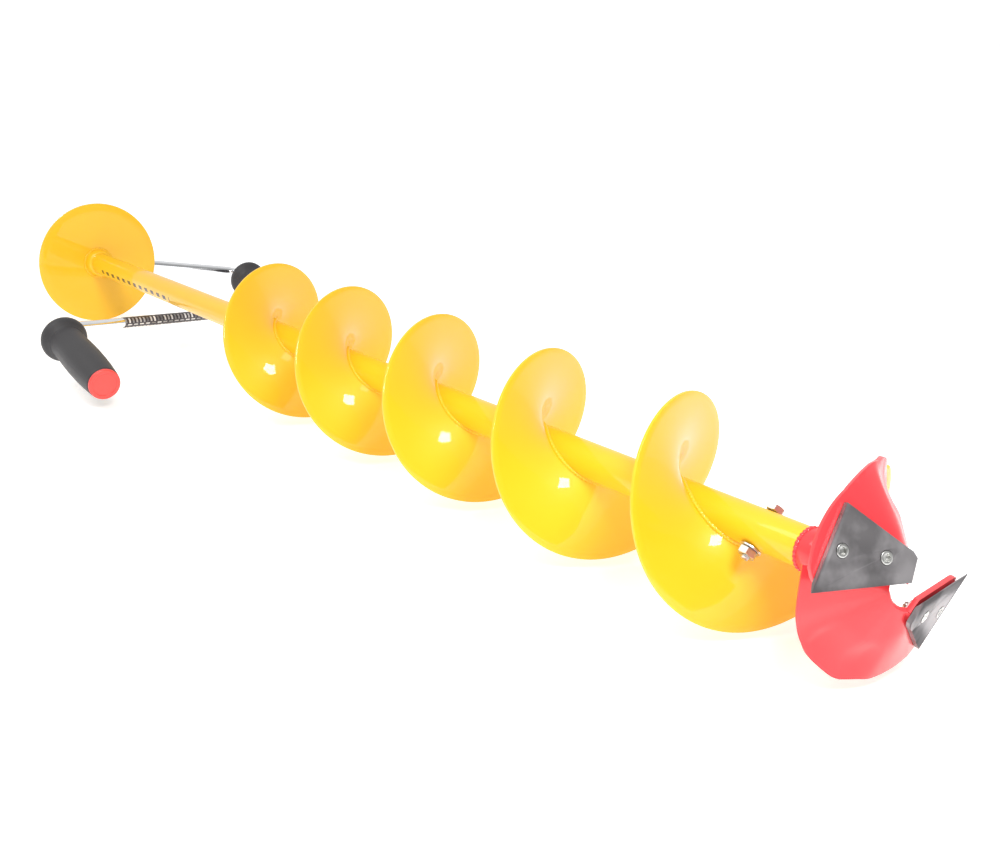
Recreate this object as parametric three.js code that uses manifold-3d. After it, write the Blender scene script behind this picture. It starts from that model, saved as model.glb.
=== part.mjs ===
// Ice fishing auger: a screw on a steel tube with a bolted two-blade head, and a two-handed crank
// that folds along the tube. Millimetres, +X along the tube towards the blades, +Z up.
// The object stands with its lowest edge on Z = 0 and is centred on the origin in X and Y.
// Inside the assembly, the tube's axis is the X axis and the screw's first full turn starts at X = 0.

import * as THREE from 'three';
import { mergeVertices } from 'three/addons/utils/BufferGeometryUtils.js';
import Module from 'manifold-3d';

const wasm = await Module();
wasm.setup();

// ---------------------------------------------------------------- driving dimensions

const R = 66.5;                       // outer radius of the screw
const GAP = 0.3;                      // clearance between pieces that touch or are welded
const DEG = Math.PI / 180;

const TUBE = { radius: 12.5, wall: 1.5, front: 668.3, sides: 24 };
const SCREW = { pitch: 138, startTurn: -95, endTurn: 1780, phase: 66, sections: 5, thickness: 2.5 };
const SCREW_STEP = 6;                 // degrees of turn in one facet of the screw
const SCREW_SEAM = 1.3;               // degrees left open between two lengths of the screw
const DISC = { x: -463.5, radius: 72, thickness: 2.5 };
const COLLAR = { length: 12, radius: 16.5 };

const HUB = { back: 608.5, front: 708, spigot: 10.6, radius: 13, bore: 8 };
const BOLT = { x: 633.7, radius: 3, flats: 10, head: 4, nut: 4.5, washer: 1.2, washerRadius: 7 };
const BOLT_TILT = 135;                // the nut's end of the bolt, in degrees from +Y through -Z

const BLADE = { thickness: 3, bevel: 4.5, bevelDrop: 2.4 };
const BLADE_CORNER = new THREE.Vector3(742.9, -6.4, 7.3);
const BLADE_EDGE = new THREE.Vector3(-0.247, -0.966, 0.075).normalize();
const BLADE_NORMAL = new THREE.Vector3(0.93, -0.2142, 0.3).normalize();
const BLADE_OUTLINE = [[0, 0], [0, 62], [43.9, 37.5], [19.8, 3.3], [16.2, -2.2], [12.6, -4.6]];
const SCREW_PLACES = [[19.8, 42.2], [14.2, 15.1]];
const BLADE_SCREW = { radius: 2.5, head: 4.8, countersink: 2.3, flats: 8, nut: 4, tail: 2.2 };

const PLATE = { thickness: 3, bend: 32, bendEnd: 84 };
const PLATE_EYE = { tail: -14, radius: 7.8, x: 730.5 };   // where the inner edge ends, beside the axis
const PLATE_PAD_OUTER = [[1, 50.5], [2.6, 56], [7, 58.4]];
const PLATE_PAD_INNER = [[1, 1], [7.7, -4.7]];
// The rim, in degrees about the axis: it leaves the blade's flat pad at the crease and ends in a horn.
const PLATE_RIM = {
    start: 160,
    crease: 119.5,
    horn: 86,
    step: 4.5,
    creaseX: 717.2,
    hornX: 708.5,
    creaseRadius: 65.3,
    hornRadius: 64.2,
};
const PLATE_CUT = [
    [706.0, 11.0, 62.6], [703.4, 16.8, 59.4], [697.4, 25.6, 49.8], [694.8, 29.9, 42.3],
    [693.2, 33.9, 32.2], [696.9, 40.4, 16.6], [699.6, 42.4, 0], [698.6, 40.0, -10.6],
];
// A rib behind each plate, as [along X, radius]: it holds the plate's free half to the hub.
const RIB = { angle: 25, thickness: 3, outline: [[679, 13.6], [720, 13.6], [698, 35], [690, 35]] };

const ROD = { radius: 5.5, bend: 20, sides: 10, steps: 88 };
const PIVOT = { x: -489.5, outer: 10, half: 20 };
const FOLD = { roll: 10.6, dip: 9.75 };   // degrees: the folded crank leans sideways and downwards
const ARM = { first: 200, grip: 145, second: 350, slant: 20.6, threadEnd: -34, stub: 138 };
const FIT = 0.35;                     // running clearance on the rod
const LINER = 8;
const MID_GRIP = { start: 24, end: 126 };
const TOP_GRIP = { start: 22, end: 150.5 };
const GRIP = { guard: 23.3, neck: 17.2, belly: 18.4, mouth: 15.9, recess: 12, recessDepth: 20 };
const CAP = { radius: 15.4, face: 3.2, plug: 9 };
const RING = { radius: 8.6, thickness: 2 };
const LABEL = { from: 118, to: 261, thickness: 0.3 };

const COLOURS = {
    yellow: { color: 0xf7c21c, roughness: 0.38, metalness: 0.0 },
    red: { color: 0xe8323c, roughness: 0.36, metalness: 0.0 },
    blade: { color: 0x77757a, roughness: 0.34, metalness: 0.9 },
    chrome: { color: 0xdfe2e6, roughness: 0.14, metalness: 1.0 },
    zinc: { color: 0xc9ccd0, roughness: 0.3, metalness: 1.0 },
    rubber: { color: 0x2c2b2d, roughness: 0.62, metalness: 0.0 },
    cap: { color: 0xe63a36, roughness: 0.42, metalness: 0.0 },
    label: { color: 0x241f22, roughness: 0.5, metalness: 0.0 },
};

// ---------------------------------------------------------------- solids

function material(name) {
    return new THREE.MeshStandardMaterial(COLOURS[name]);
}

function piece(name, colour, geometry) {
    const mesh = new THREE.Mesh(geometry, material(colour));
    mesh.name = name;
    return mesh;
}

function bare(geometry) {
    const copy = geometry.clone();
    copy.deleteAttribute('normal');
    copy.deleteAttribute('uv');
    return mergeVertices(copy, 1e-4);
}

function signedVolume(geometry) {
    const at = geometry.attributes.position;
    const index = geometry.index.array;
    const [a, b, c] = [new THREE.Vector3(), new THREE.Vector3(), new THREE.Vector3()];
    let sum = 0;
    for (let i = 0; i < index.length; i += 3) {
        a.fromBufferAttribute(at, index[i]);
        b.fromBufferAttribute(at, index[i + 1]);
        c.fromBufferAttribute(at, index[i + 2]);
        sum += a.dot(b.cross(c));
    }
    return sum / 6;
}

// Turns a closed geometry so that its faces point outwards.
function outward(geometry) {
    const solid = bare(geometry);
    if (signedVolume(solid) < 0) {
        const index = solid.index.array;
        for (let i = 0; i < index.length; i += 3) {
            [index[i + 1], index[i + 2]] = [index[i + 2], index[i + 1]];
        }
    }
    return solid;
}

function toManifold(geometry) {
    const solid = outward(geometry);
    return new wasm.Manifold(new wasm.Mesh({
        numProp: 3,
        vertProperties: new Float32Array(solid.attributes.position.array),
        triVerts: new Uint32Array(solid.index.array),
    }));
}

function fromManifold(manifold) {
    const mesh = manifold.getMesh();
    const geometry = new THREE.BufferGeometry();
    geometry.setAttribute('position', new THREE.BufferAttribute(mesh.vertProperties, 3));
    geometry.setIndex(new THREE.BufferAttribute(mesh.triVerts, 1));
    return geometry;
}

function cut(geometry, ...tools) {
    const left = tools.reduce((solid, tool) => solid.subtract(toManifold(tool)), toManifold(geometry));
    return fromManifold(left);
}

function join(geometry, ...others) {
    return fromManifold(others.reduce((sum, other) => sum.add(toManifold(other)), toManifold(geometry)));
}

// A turned solid about the X axis. The profile is a list of [along X, radius].
function turned(profile, sides = 20) {
    const points = profile.map(([along, radius]) => new THREE.Vector2(radius, along));
    const geometry = new THREE.LatheGeometry(points, sides);
    geometry.rotateZ(-Math.PI / 2);
    return outward(geometry);
}

// A ring about the X axis with a square section.
function ring(from, to, inner, outer, sides = 20) {
    return turned([[from, inner], [from, outer], [to, outer], [to, inner], [from, inner]], sides);
}

function bar(from, to, radius, sides = 20) {
    return turned([[from, 0], [from, radius], [to, radius], [to, 0]], sides);
}

// A hexagonal prism about the X axis, measured across its flats, with an optional hole.
function hexagon(from, to, flats, hole = 0) {
    const corner = flats / Math.sqrt(3);
    const shape = new THREE.Shape(Array.from({ length: 6 }, (_, i) => new THREE.Vector2(
        corner * Math.cos(i * 60 * DEG), corner * Math.sin(i * 60 * DEG))));
    if (hole > 0) shape.holes.push(new THREE.Path().absarc(0, 0, hole, 0, 2 * Math.PI));
    const geometry = new THREE.ExtrudeGeometry(shape, {
        depth: to - from, bevelEnabled: false, curveSegments: 8,
    });
    geometry.rotateY(Math.PI / 2);
    geometry.translate(from, 0, 0);
    return outward(geometry);
}

// A closed plate from rows of points on its front face; the back face lies behind it by the thickness.
function plate(rows, thickness) {
    const last = { row: rows.length - 1, column: rows[0].length - 1 };
    const vertices = [];
    const back = rows.map((row, i) => row.map((point, j) => {
        const along = new THREE.Vector3().subVectors(
            rows[Math.min(i + 1, last.row)][j], rows[Math.max(i - 1, 0)][j]);
        const across = new THREE.Vector3().subVectors(
            row[Math.min(j + 1, last.column)], row[Math.max(j - 1, 0)]);
        const normal = along.cross(across).normalize();
        if (normal.x > 0) normal.negate();
        return point.clone().addScaledVector(normal, thickness);
    }));
    [rows, back].forEach((face) => face.forEach((row) => row.forEach((point) => {
        vertices.push(point.x, point.y, point.z);
    })));
    const columns = last.column + 1;
    const front = (i, j) => i * columns + j;
    const rear = (i, j) => (rows.length + i) * columns + j;
    const index = [];
    const quad = (a, b, c, d) => index.push(a, b, c, a, c, d);
    for (let i = 0; i < last.row; i += 1) {
        for (let j = 0; j < last.column; j += 1) {
            quad(front(i, j), front(i + 1, j), front(i + 1, j + 1), front(i, j + 1));
            quad(rear(i, j), rear(i, j + 1), rear(i + 1, j + 1), rear(i + 1, j));
        }
        quad(front(i, 0), rear(i, 0), rear(i + 1, 0), front(i + 1, 0));
        quad(front(i, last.column), front(i + 1, last.column), rear(i + 1, last.column), rear(i, last.column));
    }
    for (let j = 0; j < last.column; j += 1) {
        quad(front(0, j), front(0, j + 1), rear(0, j + 1), rear(0, j));
        quad(front(last.row, j), rear(last.row, j), rear(last.row, j + 1), front(last.row, j + 1));
    }
    const geometry = new THREE.BufferGeometry();
    geometry.setAttribute('position', new THREE.Float32BufferAttribute(vertices, 3));
    geometry.setIndex(index);
    return outward(geometry);
}

function ease(t) {
    const x = Math.min(Math.max(t, 0), 1);
    return x * x * (3 - 2 * x);
}

function polar(x, radius, degrees) {
    return new THREE.Vector3(x, radius * Math.cos(degrees * DEG), radius * Math.sin(degrees * DEG));
}

// ---------------------------------------------------------------- tube, disc and screw

// Turns a solid made along X so that it points from the tube's axis to the bolt's nut.
function acrossTube(geometry) {
    geometry.rotateZ(Math.PI / 2);
    geometry.rotateX(-BOLT_TILT * DEG);
    geometry.translate(BOLT.x, 0, 0);
    return geometry;
}

// Turns a solid made along X so that it points along the crank's pivot, towards the first arm.
function alongPivot(geometry) {
    geometry.rotateZ(Math.PI / 2);
    geometry.rotateX(-FOLD.roll * DEG);
    geometry.translate(PIVOT.x, 0, 0);
    return geometry;
}

function mainTube() {
    const body = ring(PIVOT.x, TUBE.front, TUBE.radius - TUBE.wall, TUBE.radius, TUBE.sides);
    const saddle = alongPivot(bar(-2 * TUBE.radius, 2 * TUBE.radius, PIVOT.outer + GAP));
    const hole = acrossTube(bar(-2 * TUBE.radius, 2 * TUBE.radius, BOLT.radius + GAP));
    return piece('main_tube', 'yellow', cut(body, saddle, hole));
}

function disc() {
    const half = DISC.thickness / 2;
    const solid = ring(DISC.x - half, DISC.x + half, TUBE.radius + GAP, DISC.radius, 60);
    return piece('stop_disc', 'yellow', solid);
}

function discCollar() {
    const from = DISC.x + DISC.thickness / 2 + GAP;
    const to = from + COLLAR.length;
    const inner = TUBE.radius + GAP;
    const profile = [
        [from, inner], [from, COLLAR.radius], [to - 3, COLLAR.radius - 1.2], [to, inner + 1], [to, inner],
        [from, inner],
    ];
    return piece('disc_collar', 'yellow', turned(profile, TUBE.sides));
}

function screwSection(number) {
    const length = (SCREW.endTurn - SCREW.startTurn) / SCREW.sections;
    const from = SCREW.startTurn + number * length + SCREW_SEAM / 2;
    const steps = Math.round(length / SCREW_STEP);
    const turn = (length - SCREW_SEAM) / steps;
    const inner = HUB.radius + GAP;
    const rows = Array.from({ length: steps + 1 }, (_, i) => {
        const angle = from + i * turn;
        const x = SCREW.pitch * angle / 360 + SCREW.thickness / 2;
        return [inner, R].map((radius) => polar(x, radius, angle + SCREW.phase));
    });
    return piece(`screw_turn_${number + 1}`, 'yellow', plate(rows, SCREW.thickness));
}

// ---------------------------------------------------------------- cutting head

function hub() {
    const neck = TUBE.front + GAP;
    const body = turned([
        [HUB.back, HUB.bore], [HUB.back, HUB.spigot], [neck, HUB.spigot], [neck, HUB.radius],
        [HUB.front, HUB.radius], [HUB.front, HUB.bore], [HUB.back, HUB.bore],
    ], TUBE.sides);
    const hole = acrossTube(bar(-2 * TUBE.radius, 2 * TUBE.radius, BOLT.radius + GAP));
    return piece('head_hub', 'red', cut(body, hole));
}

function headBolt() {
    const seat = TUBE.radius + GAP;
    const washerFace = seat + BOLT.washer;
    const nutFace = washerFace + GAP + BOLT.nut;
    const shank = bar(-seat - 1, nutFace + 2, BOLT.radius, 16);
    const head = hexagon(-seat - BOLT.head, -seat, BOLT.flats);
    const washer = ring(seat, washerFace, BOLT.radius + GAP, BOLT.washerRadius);
    const nut = hexagon(washerFace + GAP, nutFace, BOLT.flats, BOLT.radius + GAP);
    return [
        piece('head_bolt', 'zinc', acrossTube(join(shank, head))),
        piece('head_bolt_washer', 'zinc', acrossTube(washer)),
        piece('head_bolt_nut', 'zinc', acrossTube(nut)),
    ];
}

// The frame of one blade: X away from the cutting edge, Y outwards along it, Z out of the front face.
function bladeFrame() {
    const back = new THREE.Vector3().crossVectors(BLADE_EDGE, BLADE_NORMAL);
    return new THREE.Matrix4().makeBasis(back, BLADE_EDGE, BLADE_NORMAL).setPosition(BLADE_CORNER);
}

// A point on the plane behind the blade, from its distances along the blade's frame.
function onPad(back, along) {
    const depth = -BLADE.thickness - GAP;
    return new THREE.Vector3(back, along, depth).applyMatrix4(bladeFrame());
}

function padHeight(y, z) {
    const foot = onPad(0, 0);
    return foot.x - (BLADE_NORMAL.y * (y - foot.y) + BLADE_NORMAL.z * (z - foot.z)) / BLADE_NORMAL.x;
}

function blade(mark) {
    const outline = new THREE.Shape(BLADE_OUTLINE.map(([x, y]) => new THREE.Vector2(x, y)));
    const body = new THREE.ExtrudeGeometry(outline, { depth: BLADE.thickness, bevelEnabled: false });
    body.translate(0, 0, -BLADE.thickness);
    const holes = SCREW_PLACES.map(([x, y]) => {
        const hole = turned([
            [-BLADE.thickness - 1, 0], [-BLADE.thickness - 1, BLADE_SCREW.radius + GAP],
            [-BLADE_SCREW.countersink - GAP, BLADE_SCREW.radius + GAP],
            [GAP, BLADE_SCREW.head + 2 * GAP], [1, BLADE_SCREW.head + 2 * GAP], [1, 0],
        ]);
        hole.rotateY(-Math.PI / 2);
        hole.translate(x, y, 0);
        return hole;
    });
    const bevelShape = new THREE.Shape([
        new THREE.Vector2(-1, -1), new THREE.Vector2(BLADE.bevel, -1),
        new THREE.Vector2(BLADE.bevel, 0),
        new THREE.Vector2(-0.01, BLADE.bevelDrop),
        new THREE.Vector2(-1, 3),
    ]);
    const bevel = new THREE.ExtrudeGeometry(bevelShape, { depth: 90, bevelEnabled: false });
    bevel.rotateX(Math.PI / 2);
    bevel.translate(0, 75, -BLADE.thickness);
    const solid = cut(body, bevel, ...holes);
    solid.applyMatrix4(bladeFrame());
    return piece(`blade_${mark}`, 'blade', solid);
}

function bladeFasteners(mark) {
    const frame = bladeFrame();
    const back = -BLADE.thickness - 2 * GAP - PLATE.thickness;
    return SCREW_PLACES.flatMap(([x, y], i) => {
        const nutBack = back - BLADE_SCREW.nut;
        const screw = turned([
            [nutBack - BLADE_SCREW.tail, 0], [nutBack - BLADE_SCREW.tail, BLADE_SCREW.radius],
            [-BLADE_SCREW.countersink, BLADE_SCREW.radius],
            [0, BLADE_SCREW.head],
            [0.4, BLADE_SCREW.head - 0.4],
            [0.4, 0],
        ]);
        const nut = hexagon(nutBack, back, BLADE_SCREW.flats, BLADE_SCREW.radius + GAP);
        const parts = [[`blade_screw_${mark}${i + 1}`, screw], [`blade_nut_${mark}${i + 1}`, nut]];
        return parts.map(([name, solid]) => {
            solid.rotateY(-Math.PI / 2);
            solid.translate(x, y, 0);
            solid.applyMatrix4(frame);
            return piece(name, 'zinc', solid);
        });
    });
}

// The outer edge of a head plate: the blade's pad, the rim up to the horn, and the cut-back tail.
function plateOuterEdge() {
    const pad = PLATE_PAD_OUTER.map(([back, along]) => onPad(back, along));
    const rim = [];
    for (let angle = PLATE_RIM.start; angle >= PLATE_RIM.horn; angle -= PLATE_RIM.step) {
        const rise = (angle - PLATE_RIM.horn) / (PLATE_RIM.crease - PLATE_RIM.horn);
        const radius = THREE.MathUtils.lerp(PLATE_RIM.hornRadius, PLATE_RIM.creaseRadius, ease(3 * rise));
        const point = polar(0, radius, angle);
        const free = THREE.MathUtils.lerp(PLATE_RIM.hornX, PLATE_RIM.creaseX, rise);
        point.x = angle >= PLATE_RIM.crease ? padHeight(point.y, point.z) : free;
        rim.push(point);
    }
    const tail = new THREE.CatmullRomCurve3(PLATE_CUT.map((p) => new THREE.Vector3(...p)));
    const creaseRow = pad.length + Math.floor((PLATE_RIM.start - PLATE_RIM.crease) / PLATE_RIM.step);
    return { edge: [...pad, ...rim, ...tail.getSpacedPoints(14)], creaseRow };
}

// The inner edge runs along the blade's inner end up to the crease, then round the axis to the tail.
function plateInnerEdge(count, creaseRow) {
    const [[back0, along0], [back1, along1]] = PLATE_PAD_INNER;
    const points = [];
    for (let i = 0; i <= creaseRow; i += 1) {
        const t = i / creaseRow;
        const back = THREE.MathUtils.lerp(back0, back1, t);
        points.push(onPad(back, THREE.MathUtils.lerp(along0, along1, t)));
    }
    const start = points[creaseRow];
    const startAngle = Math.atan2(start.z, start.y) / DEG;
    const startRadius = Math.hypot(start.y, start.z);
    for (let i = creaseRow + 1; i < count; i += 1) {
        const t = (i - creaseRow) / (count - 1 - creaseRow);
        const x = THREE.MathUtils.lerp(start.x, PLATE_EYE.x, Math.sqrt(t));
        const radius = THREE.MathUtils.lerp(startRadius, PLATE_EYE.radius, t);
        points.push(polar(x, radius, THREE.MathUtils.lerp(startAngle, PLATE_EYE.tail, t)));
    }
    return points;
}

// One row across a head plate. Beside the crease the plate stays flat out to the bend, then slopes back.
function plateRow(inner, outer) {
    const reach = Math.hypot(outer.y, outer.z) - Math.hypot(inner.y, inner.z);
    const share = (PLATE.bend - Math.hypot(inner.y, inner.z)) / reach;
    const bend = inner.clone().lerp(outer, share);
    const angle = Math.atan2(outer.z, outer.y) / DEG;
    const flat = ease((angle - PLATE.bendEnd) / (PLATE_RIM.crease - PLATE.bendEnd));
    bend.x = THREE.MathUtils.lerp(bend.x, padHeight(bend.y, bend.z), flat);
    return [inner, bend, bend.clone().lerp(outer, 0.5), outer];
}

function headPlate(mark) {
    const { edge, creaseRow } = plateOuterEdge();
    const inner = plateInnerEdge(edge.length, creaseRow);
    const rows = edge.map((end, i) => plateRow(inner[i], end));
    const frame = bladeFrame();
    const holes = SCREW_PLACES.map(([x, y]) => {
        const hole = bar(-4 * PLATE.thickness, 2, BLADE_SCREW.radius + GAP);
        hole.rotateY(-Math.PI / 2);
        hole.translate(x, y, 0);
        hole.applyMatrix4(frame);
        return hole;
    });
    const seat = bar(HUB.back, HUB.front + GAP, HUB.radius + GAP, TUBE.sides);
    return piece(`head_plate_${mark}`, 'red', cut(plate(rows, PLATE.thickness), seat, ...holes));
}

function headRib(mark) {
    const outline = new THREE.Shape(RIB.outline.map(([x, y]) => new THREE.Vector2(x, y)));
    const solid = new THREE.ExtrudeGeometry(outline, { depth: RIB.thickness, bevelEnabled: false });
    solid.translate(0, 0, -RIB.thickness / 2);
    solid.rotateX(RIB.angle * DEG);
    return piece(`head_rib_${mark}`, 'red', outward(solid));
}

function headHalf(mark, turn) {
    const half = new THREE.Group();
    half.add(headPlate(mark), headRib(mark), blade(mark), ...bladeFasteners(mark));
    half.rotation.x = turn;
    return half;
}

// ---------------------------------------------------------------- crank

// A flat path with round bends through the given corners.
function bentPath(corners, radius) {
    const path = new THREE.Path();
    path.moveTo(corners[0].x, corners[0].y);
    for (let i = 1; i < corners.length - 1; i += 1) {
        const before = corners[i].clone().sub(corners[i - 1]).normalize();
        const after = corners[i + 1].clone().sub(corners[i]).normalize();
        const turn = Math.atan2(before.cross(after), before.dot(after));
        const reach = radius * Math.tan(Math.abs(turn) / 2);
        const side = new THREE.Vector2(-before.y, before.x).multiplyScalar(Math.sign(turn) * radius);
        const start = corners[i].clone().addScaledVector(before, -reach);
        const centre = start.clone().add(side);
        const from = Math.atan2(start.y - centre.y, start.x - centre.x);
        path.lineTo(start.x, start.y);
        path.absarc(centre.x, centre.y, radius, from, from + turn, turn < 0);
    }
    const end = corners[corners.length - 1];
    path.lineTo(end.x, end.y);
    return path;
}

class FlatCurve extends THREE.Curve {
    constructor(path) {
        super();
        this.path = path;
    }

    getPoint(t, target = new THREE.Vector3()) {
        const point = this.path.getPoint(t);
        return target.set(point.x, point.y, 0);
    }
}

function crankCorners() {
    const slant = ARM.slant * DEG;
    const secondTop = new THREE.Vector2(ARM.grip, ARM.first);
    const secondEnd = new THREE.Vector2(Math.sin(slant), -Math.cos(slant))
        .multiplyScalar(ARM.second).add(secondTop);
    return {
        thread: new THREE.Vector2(0, ARM.threadEnd),
        firstEnd: new THREE.Vector2(0, ARM.first),
        secondTop,
        secondEnd,
        tip: secondEnd.clone().add(new THREE.Vector2(ARM.stub, 0)),
    };
}

function crankRod() {
    const curve = new FlatCurve(bentPath(Object.values(crankCorners()), ROD.bend));
    const section = new THREE.Shape().absarc(0, 0, ROD.radius, 0, 2 * Math.PI);
    const solid = new THREE.ExtrudeGeometry(section, {
        steps: ROD.steps, extrudePath: curve, curveSegments: ROD.sides / 2,
    });
    return piece('crank_rod', 'chrome', outward(solid));
}

function place(mesh, at, degrees = 0) {
    mesh.position.set(at.x, at.y, 0);
    mesh.rotation.z = degrees * DEG;
    return mesh;
}

// A grip sleeve about X: a round guard, a waist behind it, a belly and an end. The bore takes a liner.
function gripSleeve(name, { start, end }, openEnd) {
    const bore = LINER + GAP;
    const guard = start + 9;
    const outline = [
        [start, bore + 2], [start + 1, 19], [start + 3.5, 22], [guard - 2, GRIP.guard],
        [guard + 2, GRIP.guard], [guard + 5.5, 21.8], [guard + 8.5, 19], [guard + 13, GRIP.neck],
        [start + 0.38 * (end - start), GRIP.belly - 0.3], [start + 0.55 * (end - start), GRIP.belly],
        [end - 22, GRIP.belly - 0.9], [end - 6, GRIP.mouth + 0.3], [end, GRIP.mouth],
    ];
    const inside = openEnd
        ? [[end, GRIP.recess], [end - GRIP.recessDepth, GRIP.recess], [end - GRIP.recessDepth, bore]]
        : [[end, bore]];
    const profile = [[start, bore], ...outline, ...inside, [start, bore]];
    return piece(name, 'rubber', turned(profile, 24));
}

function liner(name, { start, end }) {
    return piece(name, 'label', ring(start + 0.5, end - 0.5, ROD.radius + FIT, LINER));
}

function rodRing(name, from, radius = RING.radius) {
    return piece(name, 'zinc', ring(from, from + RING.thickness, ROD.radius + GAP, radius));
}

function midGrip(corner) {
    const rings = [
        rodRing('mid_grip_ring_inner', MID_GRIP.start - RING.thickness - 0.4),
        rodRing('mid_grip_ring_outer', MID_GRIP.end + 0.4),
    ];
    const parts = [...rings, gripSleeve('mid_grip_sleeve', MID_GRIP, false), liner('mid_grip_liner', MID_GRIP)];
    return parts.map((part) => place(part, corner));
}

function topGrip(corner) {
    const mouth = TOP_GRIP.end + GAP;
    const cap = turned([
        [mouth - CAP.plug, 0], [mouth - CAP.plug, GRIP.recess - GAP], [mouth, GRIP.recess - GAP],
        [mouth, CAP.radius], [mouth + CAP.face - 1, CAP.radius], [mouth + CAP.face, CAP.radius - 1],
        [mouth + CAP.face, 0],
    ], 24);
    const linerEnd = TOP_GRIP.end - GRIP.recessDepth;
    const parts = [
        rodRing('top_grip_ring', TOP_GRIP.start - RING.thickness - 0.4),
        rodRing('top_grip_clip', linerEnd + 1, RING.radius + 1.5),
        gripSleeve('top_grip_sleeve', TOP_GRIP, true),
        liner('top_grip_liner', { start: TOP_GRIP.start, end: linerEnd }),
        piece('top_grip_cap', 'cap', cap),
    ];
    return parts.map((part) => place(part, corner));
}

// The pivot's hardware lies on the first arm's line: a collar and washer either side of the sleeve.
function pivotHardware() {
    const edge = PIVOT.half + GAP;
    const collar = piece('pivot_collar', 'zinc', ring(edge, edge + 7, ROD.radius + GAP, PIVOT.outer - 0.5));
    const washer = piece('pivot_washer', 'zinc', ring(-edge - 1.5, -edge, ROD.radius + GAP, PIVOT.outer + 1));
    return [collar, washer].map((part) => place(part, { x: 0, y: 0 }, 90));
}

function wingNut() {
    const from = -PIVOT.half - 2 * GAP - 1.5;
    const hubEnd = from - 8;
    const core = turned([[hubEnd, 0], [hubEnd, 7.2], [from - 1.5, 9], [from, 9], [from, 0]]);
    const wing = new THREE.Shape();
    wing.moveTo(-18, -2);
    wing.quadraticCurveTo(-19, -9, -15, -9);
    wing.quadraticCurveTo(-10, -8.5, -5, -1);
    wing.lineTo(5, -1);
    wing.quadraticCurveTo(10, -8.5, 15, -9);
    wing.quadraticCurveTo(19, -9, 18, -2);
    wing.quadraticCurveTo(13, 4, 0, 5);
    wing.quadraticCurveTo(-13, 4, -18, -2);
    const wings = new THREE.ExtrudeGeometry(wing, { depth: 3.4, bevelEnabled: false, curveSegments: 5 });
    wings.translate(0, 0, -1.7);
    wings.rotateZ(-Math.PI / 2);
    wings.translate(from - 5.2, 0, 0);
    const bore = bar(hubEnd - 12, from + 2, ROD.radius + GAP);
    const nut = piece('wing_nut', 'zinc', cut(join(core, wings), bore));
    return place(nut, { x: 0, y: 0 }, 90);
}

function armLabel(corner) {
    const inner = ROD.radius + GAP;
    const label = piece('arm_label', 'label', ring(LABEL.from, LABEL.to, inner, inner + LABEL.thickness));
    return place(label, corner, ARM.slant - 90);
}

function crank() {
    const corners = crankCorners();
    const group = new THREE.Group();
    group.add(
        crankRod(),
        ...pivotHardware(),
        wingNut(),
        armLabel(corners.secondTop),
        ...midGrip(corners.firstEnd),
        ...topGrip(corners.secondEnd),
    );
    group.position.set(PIVOT.x, 0, 0);
    group.rotation.set(-FOLD.roll * DEG, FOLD.dip * DEG, 0);
    return group;
}

function pivotSleeve() {
    const sleeve = ring(-PIVOT.half, PIVOT.half, ROD.radius + FIT, PIVOT.outer);
    return piece('pivot_sleeve', 'yellow', alongPivot(sleeve));
}

// ---------------------------------------------------------------- assembly

const auger = new THREE.Group();
auger.add(mainTube(), disc(), discCollar(), pivotSleeve(), hub(), ...headBolt());
for (let i = 0; i < SCREW.sections; i += 1) auger.add(screwSection(i));
auger.add(headHalf('a', 0), headHalf('b', Math.PI), crank());

// The origin is under the middle of the object, on the surface that it lies on.
const box = new THREE.Box3().setFromObject(auger, true);
const middle = box.getCenter(new THREE.Vector3());
auger.position.set(-middle.x, -middle.y, -box.min.z);
auger.updateMatrixWorld(true);

export default auger;
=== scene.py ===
"""Ice fishing auger: finished surfaces, finishes, studio and camera around the auger's fixed frame."""

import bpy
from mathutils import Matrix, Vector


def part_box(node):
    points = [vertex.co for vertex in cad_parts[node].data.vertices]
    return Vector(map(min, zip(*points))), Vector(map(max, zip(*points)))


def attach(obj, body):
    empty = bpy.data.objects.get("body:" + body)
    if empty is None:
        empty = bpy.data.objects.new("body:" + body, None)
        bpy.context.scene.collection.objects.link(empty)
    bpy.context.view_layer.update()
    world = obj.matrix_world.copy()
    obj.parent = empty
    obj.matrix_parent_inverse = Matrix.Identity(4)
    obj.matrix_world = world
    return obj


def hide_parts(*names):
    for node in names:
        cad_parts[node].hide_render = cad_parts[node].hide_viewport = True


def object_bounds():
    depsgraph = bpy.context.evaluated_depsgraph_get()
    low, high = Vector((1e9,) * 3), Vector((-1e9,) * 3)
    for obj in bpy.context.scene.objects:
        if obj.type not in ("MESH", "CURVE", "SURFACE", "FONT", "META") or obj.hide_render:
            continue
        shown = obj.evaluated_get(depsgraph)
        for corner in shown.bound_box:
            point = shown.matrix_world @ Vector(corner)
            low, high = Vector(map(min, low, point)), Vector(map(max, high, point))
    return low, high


bl_info = {
    "name": "Ice fishing auger",
    "version": (1, 0, 0),
    "blender": (4, 5, 0),
    "location": "3D View > Sidebar > Auger",
    "description": "Finished surfaces for an ice auger with a folding two-handed crank",
    "category": "Object",
}

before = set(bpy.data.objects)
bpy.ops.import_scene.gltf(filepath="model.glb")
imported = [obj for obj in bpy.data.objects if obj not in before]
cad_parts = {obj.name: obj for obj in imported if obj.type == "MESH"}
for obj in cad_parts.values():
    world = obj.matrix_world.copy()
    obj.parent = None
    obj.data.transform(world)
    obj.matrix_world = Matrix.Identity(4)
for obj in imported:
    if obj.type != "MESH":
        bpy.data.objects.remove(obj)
CAD_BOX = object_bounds()

import math

import bpy
from bpy.props import FloatProperty, FloatVectorProperty, IntProperty, PointerProperty
from mathutils import Matrix, Vector

# ------------------------------------------------------------------ places and sizes, in millimetres

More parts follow.
